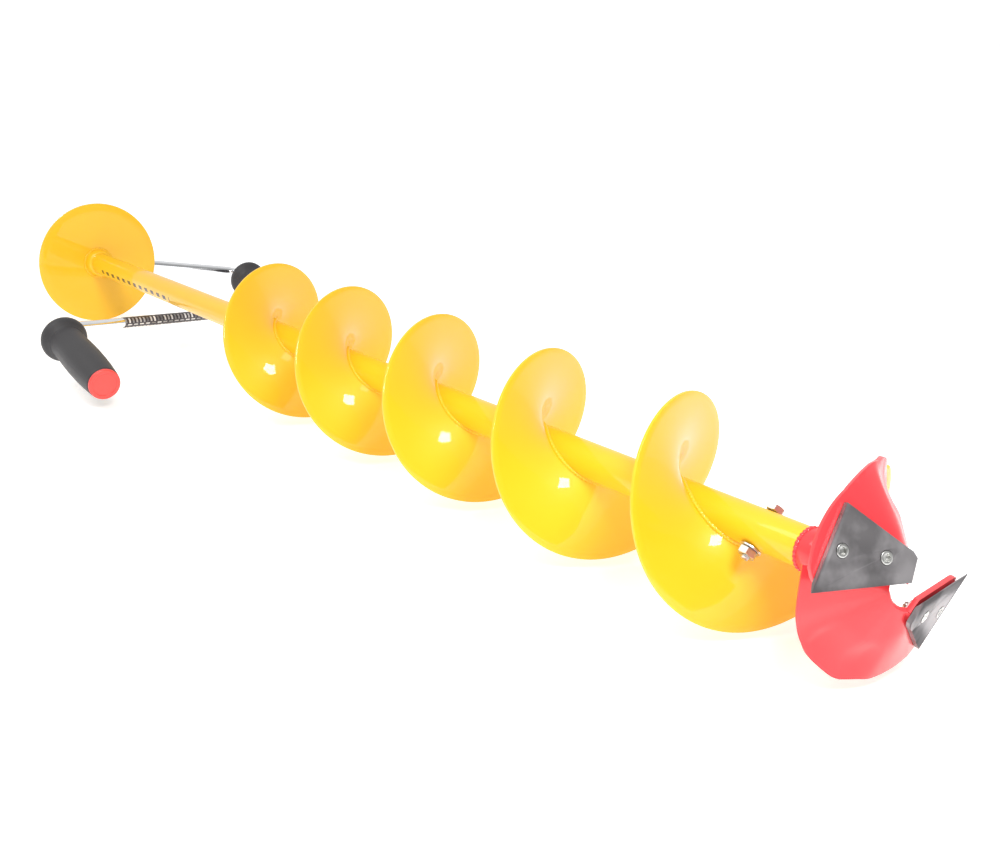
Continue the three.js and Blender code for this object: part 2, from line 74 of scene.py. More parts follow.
MM = 0.001
DISC_X = -463.5                       # the stop disc's middle, along the screw's axis
SCREW_RADIUS = 66.5

TUBE_LOW, TUBE_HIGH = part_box("main_tube")
DISC_LOW, DISC_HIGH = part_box("stop_disc")
# The screw's frame: X along the tube towards the blades, with its origin where the flight's angle is 0.
START = Vector((
    (DISC_LOW.x + DISC_HIGH.x) / 2 - DISC_X * MM,
    (TUBE_LOW.y + TUBE_HIGH.y) / 2,
    (TUBE_LOW.z + TUBE_HIGH.z) / 2,
))
ON_SCREW = Matrix.Translation(START) @ Matrix.Scale(MM, 4)

TUBE = {"radius": 12.5, "wall": 1.5, "back": -489.5, "front": 668.3, "chamfer": 0.35, "row": 12}
FLIGHT = {"pitch": 138, "from": -95, "to": 1780, "phase": 66, "thickness": 2.5, "step": 3}
FLIGHT_END = {"corner": 9, "drop": 7}  # degrees over which an end rounds off, and how far it drops
DISC = {"radius": 72, "thickness": 2.5, "lip": 0.5, "collar": 12, "collar_radius": 16.5}
DISC_ROWS = (20, 30, 40, 50, 60)      # radii of the rows of faces on the disc
HUB = {"spigot_back": 608.5, "front": 708, "spigot": 10.6, "radius": 13, "bore": 8}
BOLT = {"x": 633.7, "tilt": 135, "radius": 3, "flats": 10, "head": 4, "nut": 4.5,
        "washer": 1.2, "washer_r": 7}

BLADE_CORNER = Vector((742.9, -6.4, 7.3))
BLADE_EDGE = Vector((-0.247, -0.966, 0.075)).normalized()
BLADE_NORMAL = Vector((0.93, -0.2142, 0.3)).normalized()
BLADE_OUTLINE = ((0, 0), (0, 62), (43.9, 37.5), (19.8, 3.3), (16.2, -2.2), (12.6, -4.6))
BLADE = {"thickness": 3, "bevel": 4.5, "bevel_drop": 2.4}
SCREW_PLACES = ((19.8, 42.2), (14.2, 15.1))
BLADE_SCREW = {"radius": 2.5, "head": 3.7, "sink": 1.5, "flats": 8, "nut": 4, "tail": 2.2}
SEAT = 0.3                            # gap between pieces that lie on each other

PLATE = {"thickness": 3, "bend": 32, "bend_end": 84}
PLATE_EYE = {"tail": -14, "radius": 7.8, "x": 730.5}
PAD_OUTER = ((1, 50.5), (2.6, 56), (7, 58.4))
PAD_INNER = ((1, 1), (7.7, -4.7))
RIM = {"start": 160, "crease": 119.5, "horn": 86, "step": 1.5, "crease_x": 717.2, "horn_x": 709.5,
       "crease_r": 65.3, "horn_r": 63.3}
PLATE_CUT = (
    (706.0, 11.0, 62.6), (703.4, 16.8, 59.4), (697.4, 25.6, 49.8), (694.8, 29.9, 42.3),
    (693.2, 33.9, 32.2), (696.9, 40.4, 16.6), (699.6, 42.4, 0), (698.6, 40.0, -10.6),
)
HORN_DISH = 5.0                       # how deep the free half is pressed back behind its horn
HORN_DISH_ENDS = (98, 46)             # the angles between which it is
RIB = {"angle": 25, "thickness": 3, "outline": ((679, 13.1), (720, 13.1), (698, 35), (690, 35))}
RIB_WELD = {"from": 680, "to": 708, "points": 71, "angle": 7.5}

ROD = {"radius": 5.5, "bend": 20}
PIVOT = {"x": -489.5, "outer": 10, "half": 20, "bore": 5.85}
FOLD = {"roll": 10.6, "dip": 9.75}
ARM = {"first": 200, "grip": 145, "second": 350, "slant": 20.6, "stub": 138}
THREAD = {"end": -34, "length": 15, "lap": 3, "pitch": 1.25}
WING_NUT = {"gap": 2.1, "length": 8, "bore": 5.6, "ear": 3.2, "ear_middle": 5.2}
WING_OUTLINE = (
    (-18, -2), (-18.7, -5.4), (-18.2, -8), (-16.4, -9.2), (-13.6, -8.6), (-10.2, -6), (-5, -1))
WING_CREST = ((-11.5, 1.9), (-6, 3.9))
MID_GRIP = (24, 126)
TOP_GRIP = (22, 150.5)
LINER = {"inner": 5.85, "outer": 8}
STOP = {"ring": 8.6, "clip": 10.1, "thickness": 2, "gap": 0.4}
GRIP = {"guard": 23.3, "neck": 17.2, "belly": 18.4, "mouth": 15.9, "recess": 12, "recess_depth": 20}
CAP = {"radius": 15.4, "face": 3.2, "plug": 9}
LABEL = {"from": 118, "to": 261, "thickness": 0.3, "rows": 24}
# The print on the tube: metres along it, and metres round it from the angle "turn".
PRINT = {"from": -0.418, "to": -0.215, "low": 0.0142, "high": 0.0192, "turn": 120}

# The crank's frame: X along its grips, Y along its first arm.
ON_CRANK = (
    Matrix.Translation(START + Vector((PIVOT["x"] * MM, 0, 0)))
    @ Matrix.Rotation(math.radians(-FOLD["roll"]), 4, "X")
    @ Matrix.Rotation(math.radians(FOLD["dip"]), 4, "Y")
    @ Matrix.Scale(MM, 4)
)
QUARTER = Matrix.Rotation(math.pi / 2, 4, "Z")
STAND_UP = Matrix.Rotation(-math.pi / 2, 4, "Y")

# The camera off the blade end: its place in screw radii from the screw's origin, and its directions.
CAMERA_SPOT = Vector((16.847, -8.203, 4.285))
CAMERA_FORWARD = Vector((-0.77131, 0.56359, -0.29572))
CAMERA_RIGHT = Vector((0.58998, 0.80742, 0))
# The lights, in metres. The softbox stands in front of the blades, a little to the left of the
# screw's line as the camera looks.
SOFTBOX = START + Vector((1.27, -0.281, 0.869))
SOFTBOX_SIZE = (0.36, 0.36)
TOP_LIGHT_OFFSET = Vector((-0.1, -1.2, 1.9))
TOP_LIGHT_SIZE = (2.2, 1.0)


# ------------------------------------------------------------------ user's settings


class AugerColours(bpy.types.PropertyGroup):
    """Base colours of the auger's finishes."""

    yellow: FloatVectorProperty(
        name="Screw paint", description="Powder coat on the screw, tube and disc",
        subtype="COLOR", size=3, min=0, max=1, default=(0.93, 0.52, 0.010))
    red: FloatVectorProperty(
        name="Head paint", description="Powder coat on the cutting head",
        subtype="COLOR", size=3, min=0, max=1, default=(0.84, 0.040, 0.050))
    steel: FloatVectorProperty(
        name="Blade steel", description="Ground steel of the two blades",
        subtype="COLOR", size=3, min=0, max=1, default=(0.21, 0.20, 0.205))
    chrome: FloatVectorProperty(
        name="Crank plating", description="Bright plating on the crank",
        subtype="COLOR", size=3, min=0, max=1, default=(0.92, 0.93, 0.95))
    zinc: FloatVectorProperty(
        name="Fastener plating", description="Zinc plating on nuts, washers and screws",
        subtype="COLOR", size=3, min=0, max=1, default=(0.62, 0.62, 0.60))
    rubber: FloatVectorProperty(
        name="Grip rubber", description="Moulded rubber of both grips",
        subtype="COLOR", size=3, min=0, max=1, default=(0.036, 0.034, 0.036))
    cap: FloatVectorProperty(
        name="End cap", description="Moulded cap in the top grip",
        subtype="COLOR", size=3, min=0, max=1, default=(0.86, 0.070, 0.060))


class AugerDetails(bpy.types.PropertyGroup):
    """Sizes of the finishing details."""

    weld: FloatProperty(
        name="Weld bead", description="Radius of the weld beads",
        subtype="DISTANCE", unit="LENGTH", min=0.0005, max=0.003, default=0.0015)
    ripple: FloatProperty(
        name="Weld ripple", description="Distance from one ripple of a weld bead to the next",
        subtype="DISTANCE", unit="LENGTH", min=0.001, max=0.006, default=0.0026)
    sides: IntProperty(
        name="Sides", description="Faces around a turned piece that names no other number",
        min=24, max=128, default=64)
    edge: FloatProperty(
        name="Broken edge", description="Width of the bevel round the head's plates and stays",
        subtype="DISTANCE", unit="LENGTH", min=0.0001, max=0.001, default=0.0005)


class AugerStudio(bpy.types.PropertyGroup):
    """The studio around the auger."""

    top: FloatProperty(
        name="Top light", description="Power of the large light over the auger",
        unit="POWER", min=0, max=500, default=21)
    softbox: FloatProperty(
        name="Softbox", description="Power of the softbox in front of the blades",
        unit="POWER", min=0, max=500, default=12)
    surround: FloatProperty(
        name="Surround", description="Strength of the pale surround",
        min=0, max=3, default=0.8)
    shade: FloatProperty(
        name="Dark side", description="Strength of the surround in front of the blades",
        min=0, max=3, default=0.34)
    lens: FloatProperty(
        name="Lens", description="Focal length of the camera in millimetres",
        min=20, max=200, default=47.235)


# ------------------------------------------------------------------ shaping


def clear_selection():
    bpy.ops.object.select_all(action="DESELECT")


def make_active(piece):
    clear_selection()
    piece.select_set(True)
    bpy.context.view_layer.objects.active = piece


def apply_modifier(piece, kind, **settings):
    """Adds a modifier with these settings and applies it."""
    make_active(piece)
    modifier = piece.modifiers.new(kind.title(), kind)
    for name, value in settings.items():
        setattr(modifier, name, value)
    bpy.ops.object.modifier_apply(modifier=modifier.name)
    return piece


def in_edit_mode(piece, *steps):
    """Runs each step in edit mode with everything selected."""
    make_active(piece)
    bpy.ops.object.mode_set(mode="EDIT")
    for step in steps:
        bpy.ops.mesh.select_all(action="SELECT")
        step()
    bpy.ops.object.mode_set(mode="OBJECT")
    return piece


def close_up(piece):
    """Merges doubled points, drops stray edges and turns the faces outwards."""
    return in_edit_mode(
        piece,
        lambda: bpy.ops.mesh.remove_doubles(threshold=0.001),
        lambda: bpy.ops.mesh.dissolve_degenerate(threshold=0.0005),
        lambda: bpy.ops.mesh.delete_loose(use_verts=True, use_edges=True, use_faces=False),
        lambda: bpy.ops.mesh.normals_make_consistent(inside=False),
    )


def soften(piece, width, segments=2, angle=30):
    """Breaks the edges sharper than the angle with a small round bevel and shades the rest smoothly."""
    apply_modifier(
        piece, "BEVEL", width=width, segments=segments, limit_method="ANGLE",
        angle_limit=math.radians(angle), use_clamp_overlap=True)
    return smooth(piece)


def smooth(piece, angle=32):
    make_active(piece)
    bpy.ops.object.shade_smooth_by_angle(angle=math.radians(angle))
    return piece


def turned(profile, sides=None):
    """A turned shape about the X axis. The profile is a closed loop of (along X, radius)."""
    sides = sides or bpy.context.scene.auger_details.sides
    clear_selection()
    bpy.ops.mesh.primitive_circle_add(vertices=len(profile), radius=1, fill_type="NOTHING")
    piece = bpy.context.object
    for vertex, (along, radius) in zip(piece.data.vertices, profile):
        vertex.co = (along, 0, radius)
    apply_modifier(
        piece, "SCREW", axis="X", angle=2 * math.pi, steps=sides, render_steps=sides,
        use_merge_vertices=True, merge_threshold=0.0005)
    return close_up(piece)


def ring(start, end, inner, outer, sides=None):
    return turned([(start, inner), (start, outer), (end, outer), (end, inner)], sides)


def bar(start, end, radius, sides=None):
    return turned([(start, 0), (start, radius), (end, radius), (end, 0)], sides)


def sheet(outline, thickness, *steps):
    """A flat shape through an outline, with its thickness along Z. The steps then run in edit mode."""
    clear_selection()
    bpy.ops.mesh.primitive_circle_add(vertices=len(outline), radius=1, fill_type="NGON")
    piece = bpy.context.object
    for vertex, point in zip(piece.data.vertices, outline):
        vertex.co = point
    return in_edit_mode(
        piece,
        lambda: bpy.ops.mesh.extrude_region_move(TRANSFORM_OT_translate={"value": (0, 0, thickness)}),
        lambda: bpy.ops.mesh.normals_make_consistent(inside=False),
        *steps)


def joined(*pieces):
    """Joins pieces into the first one, as shells of one mesh."""
    clear_selection()
    for piece in pieces:
        piece.select_set(True)
    bpy.context.view_layer.objects.active = pieces[0]
    bpy.ops.object.join()
    return pieces[0]


def skin(rings, capped=True):
    """A tube of faces through rings of points, which all hold as many points."""
    around = len(rings[0])
    points = [point for one in rings for point in one]
    faces = [
        (i * around + j, i * around + (j + 1) % around,
         (i + 1) * around + (j + 1) % around, (i + 1) * around + j)
        for i in range(len(rings) - 1) for j in range(around)
    ]
    if capped:
        faces.append(tuple(range(around)))
        faces.append(tuple(range(len(points) - around, len(points))))
    mesh = bpy.data.meshes.new("skin")
    mesh.from_pydata(points, [], faces)
    piece = bpy.data.objects.new("skin", mesh)
    bpy.context.scene.collection.objects.link(piece)
    return in_edit_mode(piece, lambda: bpy.ops.mesh.normals_make_consistent(inside=False))


def swept(path, radius_at, sides=8):
    """A round bar along a path. radius_at gives its radius from the distance along the path."""
    rings = []
    travelled = 0
    side = None
    for i, point in enumerate(path):
        before = path[max(i - 1, 0)]
        after = path[min(i + 1, len(path) - 1)]
        tangent = (after - before).normalized()
        travelled += (point - before).length
        if side is None:
            side = tangent.orthogonal()
        side = (side - tangent * side.dot(tangent)).normalized()
        other = tangent.cross(side)
        radius = radius_at(travelled)
        angles = [2 * math.pi * k / sides for k in range(sides)]
        rings.append([point + (side * math.cos(a) + other * math.sin(a)) * radius for a in angles])
    return skin(rings)


def weld_bead(path):
    """A weld bead along a path, with the ripples that the arc leaves and a slow wander of its width."""
    details = bpy.context.scene.auger_details
    radius = details.weld / MM
    ripple = details.ripple / MM
    ripple_depth = 0.13
    wander = 0.09

    def radius_at(distance):
        wave = ripple_depth * math.sin(2 * math.pi * distance / ripple)
        return radius * (1 + wave + wander * math.sin(distance * 0.37) * math.sin(distance * 0.113))

    return smooth(swept(path, radius_at), 80)


def cut_with(piece, cutter, operation="DIFFERENCE", solver="EXACT"):
    """Cuts, joins or intersects a piece with another one, which is used up."""
    apply_modifier(piece, "BOOLEAN", operation=operation, solver=solver, object=cutter)
    bpy.data.objects.remove(cutter)
    return piece


def moved(piece, matrix):
    """Puts a place into a piece's mesh."""
    piece.data.transform(matrix)
    return piece


def six_sided(start, end, flats, bore=0):
    """A nut or bolt head about the X axis, its corners rounded off as on a bar turned in a lathe."""
    clear_selection()
    corner = flats / math.sqrt(3)
    bpy.ops.mesh.primitive_cylinder_add(vertices=6, radius=corner, depth=end - start)
    piece = bpy.context.object
    moved(piece, Matrix.Translation(((start + end) / 2, 0, 0)) @ Matrix.Rotation(math.pi / 2, 4, "Y"))
    face = flats / 2 * 0.97
    drop = (corner - flats / 2) * 0.62
    rounding = turned([
        (start, 0), (start, face), (start + drop, corner * 1.01),
        (end - drop, corner * 1.01), (end, face), (end, 0)], 48)
    cut_with(piece, rounding, "INTERSECT")
    if bore:
        chamfer = bore * 0.14
        wide = bore + chamfer
        cut_with(piece, turned([
            (start - 1, 0), (start - 1, wide), (start, wide), (start + chamfer, bore),
            (end - chamfer, bore), (end, wide), (end + 1, wide), (end + 1, 0)], 32))
    return smooth(piece, 28)


def threaded(start, end, radius, pitch):
    """A threaded stub about the X axis with a chamfered end at its low side."""
    depth = pitch * 0.45
    lead = 0.6
    count = int((end - start - lead) / pitch)
    profile = [(start, 0), (start, radius - depth * 1.6)]
    for i in range(count):
        crest = start + lead + i * pitch
        profile += [(crest, radius - (depth if i else depth * 1.4)), (crest + pitch / 2, radius)]
    profile += [(end, radius - depth), (end, 0)]
    return smooth(turned(profile, 32), 20)


def catmull(points, count):
    """Evenly shared points on a smooth line through all the given points."""
    line = []
    spans = len(points) - 1
    for k in range(count):
        t = spans * k / (count - 1)
        i = min(int(t), spans - 1)
        u = t - i
        a, b, c, d = (points[min(max(j, 0), spans)] for j in (i - 1, i, i + 1, i + 2))
        line.append(0.5 * (2 * b + (c - a) * u + (2 * a - 5 * b + 4 * c - d) * u ** 2
                           + (3 * b - a - 3 * c + d) * u ** 3))
    return line


def ease(t):
    """0 up to t = 0, 1 from t = 1, and a smooth change between."""
    t = min(max(t, 0), 1)
    return t * t * (3 - 2 * t)


def polar(x, radius, degrees):
    """A point at this radius and angle about the X axis."""
    angle = math.radians(degrees)
    return Vector((x, radius * math.cos(angle), radius * math.sin(angle)))


def copy_of(piece):
    """A copy of a piece with a mesh of its own."""
    twin = piece.copy()
    twin.data = piece.data.copy()
    bpy.context.scene.collection.objects.link(twin)
    return twin


def settle(piece, name, place, slot, body, nodes=()):
    """Puts a piece in its place around the frame, and gives it its finish and its body."""
    moved(piece, place)
    piece.matrix_world = Matrix.Identity(4)
    piece.name = name
    piece.data.name = name
    piece.data.materials.clear()
    piece.data.materials.append(finish(slot))
    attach(piece, body)
    if nodes:
        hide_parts(*nodes)
    return piece


# ------------------------------------------------------------------ finishes


def add_node(tree, kind, place=(0, 0), **values):
    """Adds a node. A value named like an input sets that input, and any other sets a property."""
    node = tree.nodes.new(kind)
    node.location = place
    for name, value in values.items():
        label = name.replace("_", " ").title()
        if label in node.inputs and not hasattr(node, name):
            node.inputs[label].default_value = value
        else:
            setattr(node, name, value)
    return node


def effect(name, inputs, output):
    """Starts an effect that several finishes share: a group of number inputs with one output."""
    group = bpy.data.node_groups.new(name, "ShaderNodeTree")
    for label, default in inputs.items():
        socket = group.interface.new_socket(label, in_out="INPUT", socket_type="NodeSocketFloat")
        socket.default_value = default
    group.interface.new_socket(output, in_out="OUTPUT", socket_type="NodeSocketFloat")
    entry = add_node(group, "NodeGroupInput", (-600, 0))
    leave = add_node(group, "NodeGroupOutput", (600, 0))
    return group, entry, leave


def cloud_effect():
    """Slow changes over the surface, from 0 to 1."""
    if "Cloud" in bpy.data.node_groups:
        return bpy.data.node_groups["Cloud"]
    group, entry, leave = effect("Cloud", {"Scale": 12.0, "Detail": 3.0}, "Amount")
    place = add_node(group, "ShaderNodeTexCoord", (-600, 200))
    noise = add_node(group, "ShaderNodeTexNoise", (-300, 0), roughness=0.55)
    spread = add_node(group, "ShaderNodeMapRange", (0, 0), from_min=0.32, from_max=0.68)
    group.links.new(place.outputs["Object"], noise.inputs["Vector"])
    group.links.new(entry.outputs["Scale"], noise.inputs["Scale"])
    group.links.new(entry.outputs["Detail"], noise.inputs["Detail"])
    group.links.new(noise.outputs["Fac"], spread.inputs["Value"])
    group.links.new(spread.outputs["Result"], leave.inputs["Amount"])
    return group


def grain_effect():
    """Fine relief: the dimples of a powder coat or the grain of a mould."""
    if "Grain" in bpy.data.node_groups:
        return bpy.data.node_groups["Grain"]
    group, entry, leave = effect("Grain", {"Scale": 900.0, "Fine": 0.3}, "Height")
    place = add_node(group, "ShaderNodeTexCoord", (-800, 200))
    coarse = add_node(group, "ShaderNodeTexNoise", (-400, 100), detail=1.0, roughness=0.4)
    finer = add_node(group, "ShaderNodeMath", (-600, -200), operation="MULTIPLY")
    finer.inputs[1].default_value = 3.1
    fine = add_node(group, "ShaderNodeTexNoise", (-400, -200), detail=2.0, roughness=0.5)
    blend = add_node(group, "ShaderNodeMix", (0, 0), data_type="FLOAT")
    for noise in (coarse, fine):
        group.links.new(place.outputs["Object"], noise.inputs["Vector"])
    group.links.new(entry.outputs["Scale"], coarse.inputs["Scale"])
    group.links.new(entry.outputs["Scale"], finer.inputs[0])
    group.links.new(finer.outputs[0], fine.inputs["Scale"])
    group.links.new(entry.outputs["Fine"], blend.inputs["Factor"])
    group.links.new(coarse.outputs["Fac"], blend.inputs["A"])
    group.links.new(fine.outputs["Fac"], blend.inputs["B"])
    group.links.new(blend.outputs["Result"], leave.inputs["Height"])
    return group


def edge_effect():
    """Where handling rubs a piece: its outer edges, broken up by a noise."""
    if "Rubbed edge" in bpy.data.node_groups:
        return bpy.data.node_groups["Rubbed edge"]
    group, entry, leave = effect("Rubbed edge", {"Reach": 0.06, "Scale": 160.0}, "Mask")
    shape = add_node(group, "ShaderNodeNewGeometry", (-600, 300))
    place = add_node(group, "ShaderNodeTexCoord", (-600, -200))
    noise = add_node(group, "ShaderNodeTexNoise", (-400, -100), detail=4.0)
    top = add_node(group, "ShaderNodeMath", (-400, 200), operation="ADD")
    top.inputs[1].default_value = 0.52
    edge = add_node(group, "ShaderNodeMapRange", (-100, 200), from_min=0.52)
    speck = add_node(group, "ShaderNodeMapRange", (-100, -100), from_min=0.45, from_max=0.6)
    both = add_node(group, "ShaderNodeMath", (200, 0), operation="MULTIPLY")
    group.links.new(place.outputs["Object"], noise.inputs["Vector"])
    group.links.new(entry.outputs["Scale"], noise.inputs["Scale"])
    group.links.new(entry.outputs["Reach"], top.inputs[0])
    group.links.new(shape.outputs["Pointiness"], edge.inputs["Value"])
    group.links.new(top.outputs[0], edge.inputs["From Max"])
    group.links.new(noise.outputs["Fac"], speck.inputs["Value"])
    group.links.new(edge.outputs["Result"], both.inputs[0])
    group.links.new(speck.outputs["Result"], both.inputs[1])
    group.links.new(both.outputs[0], leave.inputs["Mask"])
    return group


def brush_effect():
    """Long fine scratches along one direction, as a grinding belt leaves them."""
    if "Brushing" in bpy.data.node_groups:
        return bpy.data.node_groups["Brushing"]
    group, entry, leave = effect("Brushing", {"Scale": 1500.0, "Turn": 0.0}, "Height")
    place = add_node(group, "ShaderNodeTexCoord", (-800, 200))
    turn = add_node(group, "ShaderNodeCombineXYZ", (-800, -100))
    lay = add_node(group, "ShaderNodeMapping", (-500, 100), vector_type="TEXTURE")
    stretch = add_node(group, "ShaderNodeVectorMath", (-300, 100), operation="MULTIPLY")
    stretch.inputs[1].default_value = (1.0, 0.025, 1.0)
    noise = add_node(group, "ShaderNodeTexNoise", (-100, 100), detail=2.0)
    group.links.new(place.outputs["Object"], lay.inputs["Vector"])
    group.links.new(entry.outputs["Turn"], turn.inputs["X"])
    group.links.new(turn.outputs[0], lay.inputs["Rotation"])
    group.links.new(lay.outputs[0], stretch.inputs[0])
    group.links.new(stretch.outputs[0], noise.inputs["Vector"])
    group.links.new(entry.outputs["Scale"], noise.inputs["Scale"])
    group.links.new(noise.outputs["Fac"], leave.inputs["Height"])
    return group


def place_effect(tree, group, place=(-900, 0), **values):
    """Places a shared effect in a material with this material's own values."""
    node = add_node(tree, "ShaderNodeGroup", place)
    node.node_tree = group
    for name, value in values.items():
        node.inputs[name.title()].default_value = value
    return node.outputs[0]


def start_finish(name, **values):
    """A new material with its shader, whose plain values are set on the shader itself."""
    material = bpy.data.materials.new(name)
    material.use_nodes = True
    tree = material.node_tree
    shader = tree.nodes["Principled BSDF"]
    for label, value in values.items():
        shader.inputs[label.replace("_", " ").title().replace("Ior", "IOR")].default_value = value
    return material, tree, shader


def blend_colour(tree, mask, low, high, place=(-300, 300)):
    """One colour where the mask is 0 and another where it is 1. low may be a colour or an output."""
    mix = add_node(tree, "ShaderNodeMix", place, data_type="RGBA")
    tree.links.new(mask, mix.inputs["Factor"])
    for socket, colour in ((mix.inputs[6], low), (mix.inputs[7], high)):
        if isinstance(colour, bpy.types.NodeSocket):
            tree.links.new(colour, socket)
        else:
            socket.default_value = (*colour, 1)
    return mix.outputs[2]


def vary(tree, mask, socket, low, high, place=(-300, 0)):
    """Drives a shader's number from a mask."""
    spread = add_node(tree, "ShaderNodeMapRange", place, to_min=low, to_max=high)
    tree.links.new(mask, spread.inputs["Value"])
    tree.links.new(spread.outputs["Result"], socket)


def relief(tree, shader, height, strength, distance, place=(-300, -400)):
    """Raises the surface by an effect's height."""
    bump = add_node(tree, "ShaderNodeBump", place, strength=strength, distance=distance)
    tree.links.new(height, bump.inputs["Height"])
    tree.links.new(bump.outputs["Normal"], shader.inputs["Normal"])


def shade_of(colour, factor):
    return tuple(min(1, part * factor) for part in colour)


def powder_coat(name, colour, deep):
    """Glossy powder coat: fine dimples, a slow change of shade and edges that are a little rubbed."""
    material, tree, shader = start_finish(
        name, coat_weight=0.65, coat_roughness=0.03, specular_ior_level=0.3)
    cloud = place_effect(tree, cloud_effect(), (-900, 300), scale=9.0)
    body = blend_colour(tree, cloud, deep, colour, (-600, 300))
    rubbed = place_effect(tree, edge_effect(), (-900, 100), reach=0.10)
    paint = blend_colour(tree, rubbed, body, shade_of(colour, 1.08))
    tree.links.new(paint, shader.inputs["Base Color"])
    vary(tree, cloud, shader.inputs["Roughness"], 0.42, 0.52)
    dimples = place_effect(tree, grain_effect(), (-900, -300), scale=420.0, fine=0.1)
    relief(tree, shader, dimples, 0.05, 0.0002)
    return material


def in_band(tree, value, low, high, place):
    """1 where a number lies between two limits, and 0 elsewhere."""
    middle = add_node(tree, "ShaderNodeMath", place, operation="COMPARE")
    middle.inputs[1].default_value = (low + high) / 2
    middle.inputs[2].default_value = (high - low) / 2
    tree.links.new(value, middle.inputs[0])
    return middle.outputs[0]


def printed_paint(name, colour, deep):
    """The screw's powder coat with plain dark bars along the tube, placed by the tube's own map."""
    material = powder_coat(name, colour, deep)
    tree = material.node_tree
    shader = tree.nodes["Principled BSDF"]
    paint = shader.inputs["Base Color"].links[0].from_socket
    place = add_node(tree, "ShaderNodeUVMap", (-1300, 700), uv_map="Wrap")
    bricks = add_node(
        tree, "ShaderNodeTexBrick", (-1000, 700), offset=0.0, squash=1.0, scale=1.0,
        mortar_size=0.0042, mortar_smooth=0.02, brick_width=0.017, row_height=1.0, bias=-0.1)
    bricks.inputs["Color1"].default_value = (1, 1, 1, 1)
    bricks.inputs["Color2"].default_value = (1, 1, 1, 1)
    bricks.inputs["Mortar"].default_value = (0, 0, 0, 1)
    split = add_node(tree, "ShaderNodeSeparateXYZ", (-1300, 950))
    along = in_band(tree, split.outputs["X"], PRINT["from"], PRINT["to"], (-1000, 950))
    around = in_band(tree, split.outputs["Y"], PRINT["low"], PRINT["high"], (-1000, 1100))
    both = add_node(tree, "ShaderNodeMath", (-700, 1000), operation="MULTIPLY")
    printed = add_node(tree, "ShaderNodeMath", (-500, 900), operation="MULTIPLY")
    tree.links.new(place.outputs["UV"], bricks.inputs["Vector"])
    tree.links.new(place.outputs["UV"], split.inputs[0])
    tree.links.new(along, both.inputs[0])
    tree.links.new(around, both.inputs[1])
    tree.links.new(both.outputs[0], printed.inputs[0])
    tree.links.new(bricks.outputs["Color"], printed.inputs[1])
    ink = blend_colour(tree, printed.outputs[0], paint, (0.02, 0.014, 0.012), (-100, 600))
    tree.links.new(ink, shader.inputs["Base Color"])
    return material


def ground_steel(name, colour):
    """Ground blade steel: fine scratches one way, faint clouds and edges that are a little brighter."""
    material, tree, shader = start_finish(name, metallic=0.92, specular_ior_level=0.5)
    cloud = place_effect(tree, cloud_effect(), (-900, 300), scale=45.0)
    base = blend_colour(tree, cloud, shade_of(colour, 0.93), colour, (-600, 300))
    rubbed = place_effect(tree, edge_effect(), (-900, 100), reach=0.05, scale=30.0)
    bright = blend_colour(tree, rubbed, base, shade_of(colour, 1.8))
    tree.links.new(bright, shader.inputs["Base Color"])
    vary(tree, cloud, shader.inputs["Roughness"], 0.42, 0.44)
    lines = place_effect(tree, brush_effect(), (-900, -300), scale=1400.0, turn=0.08)
    relief(tree, shader, lines, 0.18, 0.0001)
    return material


def plating(name, colour, roughness, grain, depth):
    """Plated steel: bright, with faint clouds and the drawing marks of the bar under it."""
    material, tree, shader = start_finish(name, metallic=1.0)
    cloud = place_effect(tree, cloud_effect(), (-900, 300), scale=70.0)
    base = blend_colour(tree, cloud, shade_of(colour, 0.93), colour)
    tree.links.new(base, shader.inputs["Base Color"])
    vary(tree, cloud, shader.inputs["Roughness"], roughness * 0.8, roughness * 1.25)
    marks = place_effect(tree, grain_effect(), (-900, -300), scale=grain, fine=0.4)
    relief(tree, shader, marks, depth, 0.0001)
    return material


def moulded(name, colour, roughness, grain, depth, coat=0.0):
    """Moulded rubber or plastic: a fine mould grain, paler where hands rub it."""
    material, tree, shader = start_finish(
        name, coat_weight=coat, coat_roughness=0.2, specular_ior_level=0.45)
    cloud = place_effect(tree, cloud_effect(), (-900, 300), scale=30.0)
    body = blend_colour(tree, cloud, shade_of(colour, 0.85), shade_of(colour, 1.1), (-600, 300))
    rubbed = place_effect(tree, edge_effect(), (-900, 100), reach=0.14, scale=220.0)
    worn = blend_colour(tree, rubbed, body, tuple(part * 0.8 + 0.05 for part in colour))
    tree.links.new(worn, shader.inputs["Base Color"])
    vary(tree, cloud, shader.inputs["Roughness"], roughness - 0.05, roughness + 0.06)
    pores = place_effect(tree, grain_effect(), (-900, -300), scale=grain, fine=0.6)
    relief(tree, shader, pores, depth, 0.0002)
    return material


def printed_film(name):
    """The label round the crank's arm: a dark film with plain pale blocks and lines."""
    material, tree, shader = start_finish(name, coat_weight=0.3, coat_roughness=0.25)
    place = add_node(tree, "ShaderNodeUVMap", (-1300, 200), uv_map="Wrap")
    bricks = add_node(
        tree, "ShaderNodeTexBrick", (-1000, 200), offset=0.5, squash=0.6, squash_frequency=3,
        scale=1.0, mortar_size=0.0014, mortar_smooth=0.05, brick_width=0.0085, row_height=0.0085,
        bias=-0.1)
    bricks.inputs["Color1"].default_value = (1, 1, 1, 1)
    bricks.inputs["Color2"].default_value = (0, 0, 0, 1)
    bricks.inputs["Mortar"].default_value = (0, 0, 0, 1)
    tree.links.new(place.outputs["UV"], bricks.inputs["Vector"])
    film = blend_colour(tree, bricks.outputs["Color"], (0.035, 0.026, 0.03), (0.78, 0.76, 0.74))
    tree.links.new(film, shader.inputs["Base Color"])
    cloud = place_effect(tree, cloud_effect(), (-900, -100), scale=60.0)
    vary(tree, cloud, shader.inputs["Roughness"], 0.38, 0.5)
    return material


